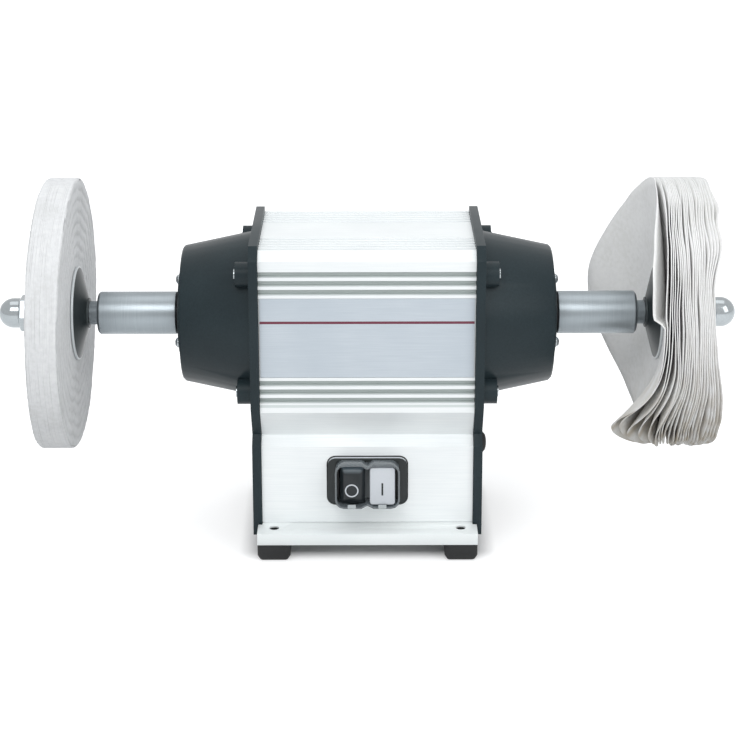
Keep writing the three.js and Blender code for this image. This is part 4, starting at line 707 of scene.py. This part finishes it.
@dataclass(frozen=True)
class SpindleEnds:
    """The turned pieces of both spindle ends: flange, bearing cover, domed nut and sleeve."""

    # Hub, cone, thin rim, then the dish that faces the buff
    flange: Profile = (
        (256, 10.05), (256, 14), (257.5, 14), (265.7, 43),
        (267.7, 43), (267.7, 33), (266.2, 31.5), (266.2, 10.05),
    )  # fmt: skip
    cover: Profile = ((168.9, 21.3), (168.9, 41), (171.7, 41), (171.7, 21.3))
    # Socket for the motor's shaft, chamfered sleeve, neck, then the arbor that carries the buff
    sleeve: Profile = (
        (214.3, 10.3), (175, 10.3), (175, 18.9), (175.8, 19.7), (245.6, 19.7),
        (247.6, 17.7), (247.6, 10.8), (256, 10.8), (256, 9.95), (318.1, 9.95),
    )  # fmt: skip
    nut_start: float = 305.9
    nut_hex_end: float = 320.3
    nut_end: float = 339.85
    nut_flats: float = 30.0
    lead: float = 1.6
    thread_depth: float = 12.5
    thread_corner: float = 11.7
    dome_radius: float = 13.9
    dome_steps: int = 14

    def nut(self, side: int, name: str) -> Piece:
        """Make a domed nut: an upset hexagon with a spun dome on it."""
        corner = self.nut_flats / 2 / math.cos(math.pi / 6)
        bolted = [
            (self.nut_start + self.thread_depth, self.thread_corner),
            (self.nut_start, self.thread_corner),
            (self.nut_start, corner * 0.93),
            (self.nut_start + self.lead / 2, corner),
            (self.nut_hex_end - self.lead, corner),
            (self.nut_hex_end, corner * 0.9),
        ]
        hexagon = turned(name, side, bolted, sections=6)
        eased(hexagon, 0.5 * MM, corner_deg=15.0)
        crown = self.nut_end - self.dome_radius
        spun = [(self.nut_hex_end - self.lead, self.dome_radius), (crown, self.dome_radius)]
        for step in range(1, self.dome_steps):
            turn = math.pi / 2 * step / self.dome_steps
            spun.append((crown + self.dome_radius * math.sin(turn), self.dome_radius * math.cos(turn)))
        dome = turned(f"{name}_dome", side, spun)
        eased(dome, 0.0)
        alone(hexagon)
        dome.select_set(True)
        bpy.ops.object.join()
        return hexagon

    def build(self, model: Model) -> None:
        """Turn every piece of both ends."""
        for side, word in ((-1, "left"), (1, "right")):
            flange = turned(f"{word}_flange_turned", side, self.flange, bored=True)
            eased(flange, 0.35 * MM, corner_deg=25.0)
            model.stand_in(flange, f"{word}_inner_flange")
            cover = turned(f"{word}_cover_turned", side, self.cover, bored=True)
            eased(cover, 0.6 * MM)
            model.stand_in(cover, f"{word}_bearing_cover")
            model.stand_in(self.nut(side, f"{word}_nut_domed"), f"{word}_cap_nut")
            sleeve = turned(f"{word}_sleeve_turned", side, self.sleeve)
            eased(sleeve, 0.5 * MM, corner_deg=30.0)
            model.stand_in(sleeve, f"{word}_shaft_extension")


@dataclass(frozen=True)
class Fold:
    """One soft fold of the loose stack.

    It crests at an angle round the spindle, leans along it, and takes some sheets with it. Below
    its tuck the sheets are folded back to the others. Crowding brings them together in clumps.
    """

    crest_deg: float
    spread_deg: float
    lean_mm: float
    sheets: float
    tuck_deg: float | None = None
    crowding: float = 0.0

    def lean(self, angle: float, place: int) -> float:
        """Give how far the fold moves a sheet's rim; sheet 0 is on the side that the fold starts on."""
        crest = self.crest_deg + 3.0 * self.crowding * math.sin(2.1 * place)
        crowded = place - self.crowding * math.sin(0.95 * place)
        share = bell(angle, crest, self.spread_deg) * math.exp(-crowded / self.sheets)
        if self.tuck_deg is not None:
            past = (math.degrees(angle) - self.tuck_deg) % 360
            share *= ease(past / 4) if past < 180 else 0.0
        return self.lean_mm * MM * share


@dataclass
class LooseBuff:
    """The right buff: loose calico discs, which fold and fan out round the flanges."""

    inner_x: float = 268.4 * MM
    outer_x: float = 295.6 * MM
    bloom: float = 7.5 * MM
    bore: float = 10.9 * MM
    clamp: float = 43.6 * MM
    radius: float = 124.9 * MM
    discs: int = 24
    thickness: float = 0.8 * MM
    least_gap: float = 0.86 * MM
    sections: int = 200
    rings: int = 15
    shortening: float = 300 * MM
    ragged_mm: float = 0.7
    torn_mm: float = 2.2
    wave_mm: float = 0.8
    crease_mm: float = 0.45
    # Round the lower front the stack is browner and darker, and its rims are torn more
    lower_front_deg: float = 208
    lower_front_spread_deg: float = 32
    inner_folds: tuple[Fold, ...] = (
        Fold(92, 31, 48, 1.5),
        Fold(223, 17, 45, 6.0, crowding=0.8),
        Fold(278, 30, 8, 9.0),
        Fold(305, 33, 12, 0.5, tuck_deg=281),
    )
    outer_folds: tuple[Fold, ...] = (
        Fold(356, 20, 9, 6.0),
        Fold(336, 5, 5, 1.5),
        Fold(316, 9, 8, 4.0),
        Fold(236, 22, 14, 8.0),
        Fold(203, 16, 9, 8.0),
        Fold(90, 30, -6, 6.0),
    )

    def gap(self, place: int, angle: float) -> float:
        """Give how open the gap after a sheet is, beside the other gaps."""
        spot = Vector((1.5 * math.cos(angle), 1.5 * math.sin(angle), 3.1 * place + 0.7))
        return 0.14 + 4 * max(0.0, noise.noise(spot)) ** 2

    def rims(self, angle: float) -> list[float]:
        """Give where each sheet's rim lies along X at an angle, from the motor outwards."""
        last = self.discs - 1
        gaps = [self.gap(place, angle) for place in range(last)]
        width = self.outer_x - self.inner_x + self.bloom
        spare = (width - last * self.least_gap) / sum(gaps)
        x = self.inner_x - self.bloom / 2
        places = []
        for place in range(self.discs):
            inward = sum(fold.lean(angle, place) for fold in self.inner_folds)
            outward = sum(fold.lean(angle, last - place) for fold in self.outer_folds)
            places.append(x - inward + outward)
            if place < last:
                x += self.least_gap + gaps[place] * spare
        return places

    def reach(self, place: int, angle: float, lean: float) -> float:
        """Give how far from the axis a sheet's rim comes, folded and frayed as it is."""
        round_it = Vector((2.2 * math.cos(angle), 2.2 * math.sin(angle), 5.3 * place))
        own_cut = 0.5 + noise.noise(Vector((0.4, 1.7 * place, 0.2)))
        trued = 1 - 0.8 * bell(angle, 0, 45)
        ragged = trued * self.ragged_mm * MM * (1 + noise.noise(round_it) + own_cut)
        fray = ragged + self.torn_mm * MM * bell(angle, self.lower_front_deg - 3, self.lower_front_spread_deg) * own_cut
        return self.radius - lean * lean / self.shortening - max(0.0, fray)

    def point(self, place: int, rims: list[list[float]], cut: float, section: int) -> Triple:
        """Give x, radius and share of the browner, darker tint of a sheet's point, which was cut at a radius
        of the flat disc.
        """
        root_x = self.inner_x + (self.outer_x - self.inner_x) * place / (self.discs - 1)
        free = max(0.0, (cut - self.clamp) / (self.radius - self.clamp))
        angle = 2 * math.pi * section / self.sections
        lean = rims[section][place] - root_x
        shared = self.wave_mm * MM * ripple(angle, 2.2 * free, 0.9 + 0.03 * place) * free
        crease = Vector((6 * math.cos(angle), 6 * math.sin(angle), 0.8 * place))
        x = root_x + lean * free**1.6 + shared
        x += self.crease_mm * MM * noise.noise(crease) * ease(free)
        short = (self.radius - self.reach(place, angle, lean)) * free
        # Browner and darker toward the lower front, in patches
        patchiness = 0.5 + ripple(2 * angle, 3.0 * free, 0.6 * place)
        lower_front_share = 0.95 * bell(angle, self.lower_front_deg, self.lower_front_spread_deg)
        return (x, cut - short, lower_front_share * ease(free) * max(0.0, min(1.0, patchiness)))

    def disc(self, place: int, rims: list[list[float]]) -> Piece:
        """Make one calico disc, a thin solid in its folded rest shape; disc 0 is next to the motor."""
        cuts = [self.bore + (self.radius - self.bore) * ring / self.rings for ring in range(self.rings + 1)]
        rules = [partial(self.point, place, rims, cut) for cut in cuts]
        piece = sewn(f"calico_disc_{place + 1:02d}", "lower_front_tint", rules, cuts, self.sections, closed=False)
        solid = piece.modifiers.new("thickness", "SOLIDIFY")
        solid.thickness = self.thickness
        solid.offset = 0.0
        alone(piece)
        bpy.ops.object.modifier_apply(modifier=solid.name)
        return piece

    def build(self, model: Model) -> None:
        """Make and dress the whole stack, and hang it on the spindle."""
        rims = [self.rims(2 * math.pi * section / self.sections) for section in range(self.sections)]
        for place in range(self.discs):
            piece = self.disc(place, rims)
            model.dress(piece, CALICO)
            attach(piece, "spindle")
            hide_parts("loose_buff")
            LOG.info("%s is on the spindle", piece.name)


@dataclass
class StitchedBuff:
    """The left buff: many calico discs sewn together in rings, with a trued rim."""

    inner_x: float = -268.2 * MM
    outer_x: float = -295.8 * MM
    bore: float = 10.9 * MM
    clamp: float = 43.6 * MM
    radius: float = 124.6 * MM
    seam_pitch: float = 10.5 * MM
    seam_depth: float = 1.3 * MM
    sway: float = 2.6 * MM
    tilt: float = 2.6 * MM
    layers: int = 19
    layer_depth: float = 0.45 * MM
    sections: int = 320
    steps: int = 66
    edge: float = 1.6 * MM
    fade: float = 14 * MM
    rim_cut: float = 27 * MM
    inner_seed: float = 1.3
    outer_seed: float = 8.9
    # Added to a face's seed, so that its edge doesn't sway as its seams wander
    sway_seed: float = 9.0

    def face_profile(self) -> list[float]:
        """List the radii of one face, from the bore to the rim, close enough to show each seam."""
        free = self.radius - self.edge - self.clamp
        radii = [self.bore, 0.5 * (self.bore + self.clamp), self.clamp]
        return radii + [self.clamp + free * (step + 1) / self.steps for step in range(self.steps)]

    def swing(self, angle: float, seed: float) -> float:
        """Give how far the whole edge leans out of its plane at an angle."""
        return self.sway * ripple(angle, -0.7, seed)

    def askew(self, rule: Callable[[float], Triple], section: int) -> Triple:
        """Give x, radius and painted shade at a section, with the buff sitting a little askew."""
        angle = 2 * math.pi * section / self.sections
        x, radius, painted_shade = rule(angle)
        free = max(0.0, (radius - self.clamp) / (self.radius - self.clamp))
        return (x + self.tilt * free * (math.cos(angle) + 0.25), radius, painted_shade)

    def seam(self, radius: float, angle: float, seed: float) -> float:
        """Give 0 in a seam and up to 1 between two; the seams wander as they were sewn."""
        wander = 4.5 * MM * ripple(angle, 1.4, seed) + 1.6 * MM * ripple(3 * angle, 2.0, seed + 4)
        return abs(math.sin(math.pi * (radius + wander) / self.seam_pitch)) ** 0.6

    def shadow(self, radius: float, angle: float, seed: float) -> float:
        """Give how much painted shade the cloth takes in and beside a seam."""
        # Painted shade, strongest in a seam and fading between seams
        free = ease((radius - self.clamp) / self.fade)
        strength = 0.55 + 0.6 * ripple(2 * angle, 1.0, seed + 2 + radius / self.seam_pitch)
        return max(0.0, 0.6 * free * strength * (1 - self.seam(radius, angle, seed)))

    def puff(self, radius: float, angle: float, seed: float) -> float:
        """Give how far the cloth stands proud between two seams; the seed tells the faces apart."""
        free = ease((radius - self.clamp) / self.fade)
        pucker = 0.3 * ripple(5 * angle, 5.0, seed + radius / self.seam_pitch)
        puffed = self.seam_depth * free * (self.seam(radius, angle, seed) + pucker - 0.6)
        return puffed + free * self.swing(angle, seed + self.sway_seed)

    def face_point(self, x: float, way: int, seed: float, radius: float, angle: float) -> Triple:
        """Give x, radius and painted shade of a point on a face, which lies at x and looks that way."""
        return (x + way * self.puff(radius, angle, seed), radius, self.shadow(radius, angle, seed))

    def rim_point(self, share: float, angle: float) -> Triple:
        """Give x, radius and painted shade of a point on the trued rim, where the discs show as layers.

        Args:
            share: The way from the inner face to the outer one, from 0 to 1.
            angle: The angle round the spindle.
        """
        near = min(share, 1 - share)
        corner = near * abs(self.inner_x - self.outer_x) / self.edge
        rounding = self.edge * (1 - math.sqrt(max(0.0, 1 - (1 - min(1.0, corner)) ** 2)))
        seam = abs(math.sin(math.pi * share * self.layers))
        wander = 0.9 * MM * ripple(angle, 0.0, 5.0 + 2.0 * share) * min(1.0, 4 * near)
        inner = self.swing(angle, self.inner_seed + self.sway_seed) * (1 - share)
        outer = self.swing(angle, self.outer_seed + self.sway_seed) * share
        x = self.inner_x + (self.outer_x - self.inner_x) * share + wander + (inner - outer)
        # Painted shade in the lines between the layers
        strength = max(0.0, 0.1 + 1.1 * ripple(angle, 0.4, 11 * round(share * self.layers)))
        dip = self.layer_depth * (1 - seam) * (0.3 + strength)
        return (x, self.radius - rounding - dip, 0.6 * (1 - seam) * strength)

    def build(self, model: Model) -> None:
        """Make, dress and mount the buff."""
        radii = self.face_profile()
        inner_face = partial(self.face_point, self.inner_x, 1, self.inner_seed)
        outer_face = partial(self.face_point, self.outer_x, -1, self.outer_seed)
        shares = [step / (self.layers * 4) for step in range(self.layers * 4 + 1)]
        rules = [partial(inner_face, radius) for radius in radii]
        rules += [partial(self.rim_point, share) for share in shares]
        rules += [partial(outer_face, radius) for radius in reversed(radii)]
        cuts = [*radii, *(self.radius + share * self.rim_cut for share in shares), *reversed(radii)]
        askew = [partial(self.askew, rule) for rule in rules]
        # The mark holds the painted shade of the seams and the layers
        piece = sewn("sewn_calico_buff", "layer_depth", askew, cuts, self.sections, closed=True)
        model.dress(piece, SHADED_STITCHED_CALICO)
        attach(piece, "spindle")
        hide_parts("stitched_buff")
        LOG.info("%s is on the spindle", piece.name)


@dataclass
class SwitchTrim:
    """The small things on the switch: a thin black outline that paints the shade in the gap round the bezel,
    guard catches, and plain off and on marks.
    """

    drop: float = 138.9 * MM
    panel_depth: float = 68.104 * MM
    tilt: float = math.atan2(2.5, 72.9)
    face: float = 16.03 * MM
    relief: float = 0.12 * MM
    ring_centre: Pair = (-14.2 * MM, -4.2 * MM)
    ring_radius: float = 5.6 * MM
    line: float = 1.15 * MM
    bar_centre: Pair = (13.5 * MM, -2.8 * MM)
    bar_height: float = 11.8 * MM
    bar_line: float = 1.6 * MM
    bar_corner: float = 0.3 * MM
    # A thin black outline round the bezel, which paints the shade in the gap there
    shadow_outline_size: Pair = (74.2 * MM, 47.4 * MM)
    shadow_outline_corner: float = 8.0 * MM
    shadow_outline_width: float = 1.0 * MM
    shadow_outline_height: float = 0.6 * MM
    catch_size: Pair = (7.4 * MM, 3.6 * MM)
    catch_corner: float = 0.8 * MM
    catch_y: float = -18.9 * MM
    catch_span: Pair = (17.2 * MM, 18.5 * MM)

    def on_panel(self, x: float, y: float, z: float) -> Matrix:
        """Give a placement on the switch: x to the side, y up the panel and z out of it."""
        spot = Matrix.Translation((0, -self.panel_depth, SHAFT_HEIGHT - self.drop))
        return spot @ Matrix.Rotation(math.pi / 2 - self.tilt, 4, "X") @ Matrix.Translation((x, y, z))

    def flat_piece(
        self, name: str, size: Pair, corner: float, height: float, opening: float, place: Matrix
    ) -> Piece:
        """Make a flat raised piece: a plate with round corners, or a disc.

        Args:
            name: The piece's name.
            size: Its width and height on the panel.
            corner: The radius of its corners, or 0 for a disc.
            height: How far it is raised.
            opening: The width that stays round its opening, or 0 for a solid piece.
            place: Where it goes.

        Returns:
            The piece, with its place in its mesh.
        """
        bpy.ops.object.select_all(action="DESELECT")
        if corner > 0:
            bpy.ops.mesh.primitive_plane_add(size=1.0)
        else:
            bpy.ops.mesh.primitive_circle_add(vertices=64, radius=size[0] / 2, fill_type="NGON")
        piece = bpy.context.object
        piece.name = name
        bpy.ops.object.mode_set(mode="EDIT")
        pick_all()
        if corner > 0:
            bpy.ops.transform.resize(value=(size[0], size[1], 1.0))
            bpy.ops.mesh.bevel(offset=corner, segments=8, affect="VERTICES")
            pick_all()
        if opening > 0:
            bpy.ops.mesh.inset(thickness=opening)
            bpy.ops.mesh.delete(type="FACE")
            pick_all()
        bpy.ops.mesh.extrude_region_move(TRANSFORM_OT_translate={"value": (0.0, 0.0, height)})
        close_up()
        piece.matrix_world = place
        bpy.ops.object.transform_apply(location=True, rotation=True, scale=True)
        return piece

    def build(self, model: Model) -> None:
        """Make the painted shadow outline, the catches and the marks, and fix each to its body."""
        across = 2 * (self.ring_radius + self.line / 2)
        place = self.on_panel(*self.ring_centre, self.face)
        ring = self.flat_piece("off_mark", (across, across), 0.0, self.relief, self.line, place)
        size = (self.bar_line, self.bar_height)
        place = self.on_panel(*self.bar_centre, self.face)
        bar = self.flat_piece("on_mark", size, self.bar_corner, self.relief, 0.0, place)
        # Painted shadow: a thin black outline just round the bezel
        place = self.on_panel(0.0, 0.0, 0.05 * MM)
        size, corner = self.shadow_outline_size, self.shadow_outline_corner
        shadow_outline = self.flat_piece("bezel_shadow_outline", size, corner, self.shadow_outline_height, self.shadow_outline_width, place)
        eased(shadow_outline, 0.2 * MM)
        pieces = [
            (ring, WHITE_ABS, "stop_button", "white_plastic"),
            (bar, BLACK_ABS, "start_button", "black_plastic"),
            (shadow_outline, MOULDED_RUBBER, "machine", "black_rubber"),
        ]
        low, high = self.catch_span
        for centre, side in ((self.ring_centre, "stop"), (self.bar_centre, "start")):
            place = self.on_panel(centre[0], self.catch_y, low)
            name = f"{side}_guard_catch"
            catch = self.flat_piece(name, self.catch_size, self.catch_corner, high - low, 0.0, place)
            eased(catch, 0.3 * MM)
            pieces.append((catch, CATCH_ABS, "machine", "white_plastic"))
        for piece, finish, body, slot in pieces:
            model.dress(piece, finish)
            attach(piece, body)
            LOG.info("%s is on the %s", piece.name, body)


@dataclass
class Studio:
    """A plain pale room: white floor and backdrop, soft lamps and the photograph's camera."""

    floor_size: float = 30.0
    floor_drop: float = 0.6 * MM
    floor_tone: str = "d8d8d8"
    footprint: Triple = (0.096, 0.071, 0.0)
    # The floor's white glow: where it starts and ends, in metres from the base, and its strength
    near_glow: Triple = (0.002, 0.022, 0.5)
    far_glow: Triple = (0.02, 0.3, 0.2)
    ambient: float = 0.72
    key_power: float = 19.0
    fill_power: float = 9.0
    top_power: float = 6.0
    camera_place: Triple = (0.0, -1.7109, 0.7565)
    camera_pitch_deg: float = 17.3
    camera_roll_deg: float = -0.108
    lens_mm: float = 95.11
    shift: Pair = (0.0013, -0.1)

    def background_rays(self, tree: Tree) -> Feed:
        """Tell the rays that show the background: the camera's, and those off metal and through glass."""
        path = add_node(tree, "LightPath")
        shown: Feed = path.outputs["Is Camera Ray"]
        for kind in ("Is Glossy Ray", "Is Transmission Ray"):
            shown = add_node(tree, "Math", {0: shown, 1: path.outputs[kind]}, operation="MAXIMUM")
        return shown

    def floor(self) -> None:
        """Lay the floor, which keeps the shadow and otherwise looks as white as the backdrop."""
        bpy.ops.object.select_all(action="DESELECT")
        bpy.ops.mesh.primitive_grid_add(
            x_subdivisions=6, y_subdivisions=6, size=self.floor_size, location=(0, 0, -self.floor_drop)
        )
        piece = bpy.context.object
        piece.name = "studio_floor"
        bpy.ops.object.transform_apply(location=True, rotation=True, scale=True)
        made = bpy.data.materials.new("painted_studio_floor")
        tree = emptied(made)
        add = partial(add_node, tree)
        place = add("TexCoord").outputs["Object"]
        half = add("VectorMath", {0: place}, operation="ABSOLUTE")
        over = add("VectorMath", {0: half, 1: self.footprint}, operation="SUBTRACT")
        past = add("VectorMath", {0: over, 1: (0, 0, 0)}, operation="MAXIMUM")
        away = add("VectorMath", {0: past}, operation="LENGTH").outputs["Value"]
        close, wide = (
            add("MapRange", {0: away, 1: start, 2: end, 3: 0.0, 4: strength})
            for start, end, strength in (self.near_glow, self.far_glow)
        )
        spread = add("Math", {0: close, 1: wide}, operation="ADD")
        lift = add("Math", {0: self.background_rays(tree), 1: spread}, operation="MULTIPLY")
        glow = add("Emission", {"Color": (1, 1, 1, 1), "Strength": lift})
        paint = add("BsdfDiffuse", {"Color": linear(self.floor_tone)})
        add("OutputMaterial", {0: add("AddShader", {0: paint, 1: glow})})
        piece.data.materials.append(made)

    def room(self) -> None:
        """Light the room evenly, and show plain white to the camera, off metal and through glass."""
        world = bpy.data.worlds.new("pale_room")
        bpy.context.scene.world = world
        tree = emptied(world)
        add = partial(add_node, tree)
        soft = add("Background", {"Color": linear("f4f7fa"), "Strength": self.ambient})
        plain = add("Background", {"Color": (1, 1, 1, 1), "Strength": 1.0})
        seen = self.background_rays(tree)
        add("OutputWorld", {0: add("MixShader", {0: seen, 1: soft, 2: plain})})

    def lamp(self, name: str, place: Vector, aim: Vector, size: Pair, power: float) -> None:
        """Hang one soft rectangular lamp, with its width and height in metres and its power in watts."""
        data = bpy.data.lights.new(name, "AREA")
        data.shape = "RECTANGLE"
        data.size, data.size_y = size
        data.energy = power
        added(name, data, place).rotation_euler = (aim - place).to_track_quat("-Z", "Y").to_euler()

    def camera(self) -> None:
        """Set the camera where the photograph was taken from."""
        data = bpy.data.cameras.new("photograph_view")
        data.lens = self.lens_mm
        data.sensor_width = 36.0
        data.shift_x, data.shift_y = self.shift
        data.clip_end = 100.0
        piece = added("photograph_view", data, Vector(self.camera_place))
        tilt = Matrix.Rotation(math.radians(90 - self.camera_pitch_deg), 4, "X")
        roll = Matrix.Rotation(math.radians(self.camera_roll_deg), 4, "Z")
        piece.rotation_euler = (tilt @ roll).to_euler()
        bpy.context.scene.camera = piece

    def build(self) -> None:
        """Set up the whole studio."""
        self.floor()
        self.room()
        centre = Vector((0, 0, 0.18))
        self.lamp("key_softbox", Vector((-0.35, -1.6, 1.8)), centre, (1.7, 1.0), self.key_power)
        self.lamp("fill_softbox", Vector((1.4, -1.2, 1.2)), centre, (1.0, 1.4), self.fill_power)
        self.lamp("top_softbox", Vector((0.0, 0.3, 1.9)), centre, (2.2, 1.0), self.top_power)
        self.camera()
        bpy.context.scene.view_settings.view_transform = "Standard"


def main() -> None:
    """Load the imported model, dress it, add the cloth and marks, and set the studio."""
    logging.basicConfig(level=logging.INFO, format="%(name)s: %(message)s")
    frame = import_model()
    bpy.context.view_layer.update()
    bpy.ops.object.select_all(action="DESELECT")
    model = Model(frame)
    model.dress_packed()
    Studio().build()
    for part in (EasedPieces(), SpindleEnds(), StitchedBuff(), LooseBuff(), SwitchTrim()):
        part.build(model)


if __name__ == "__main__":
    main()
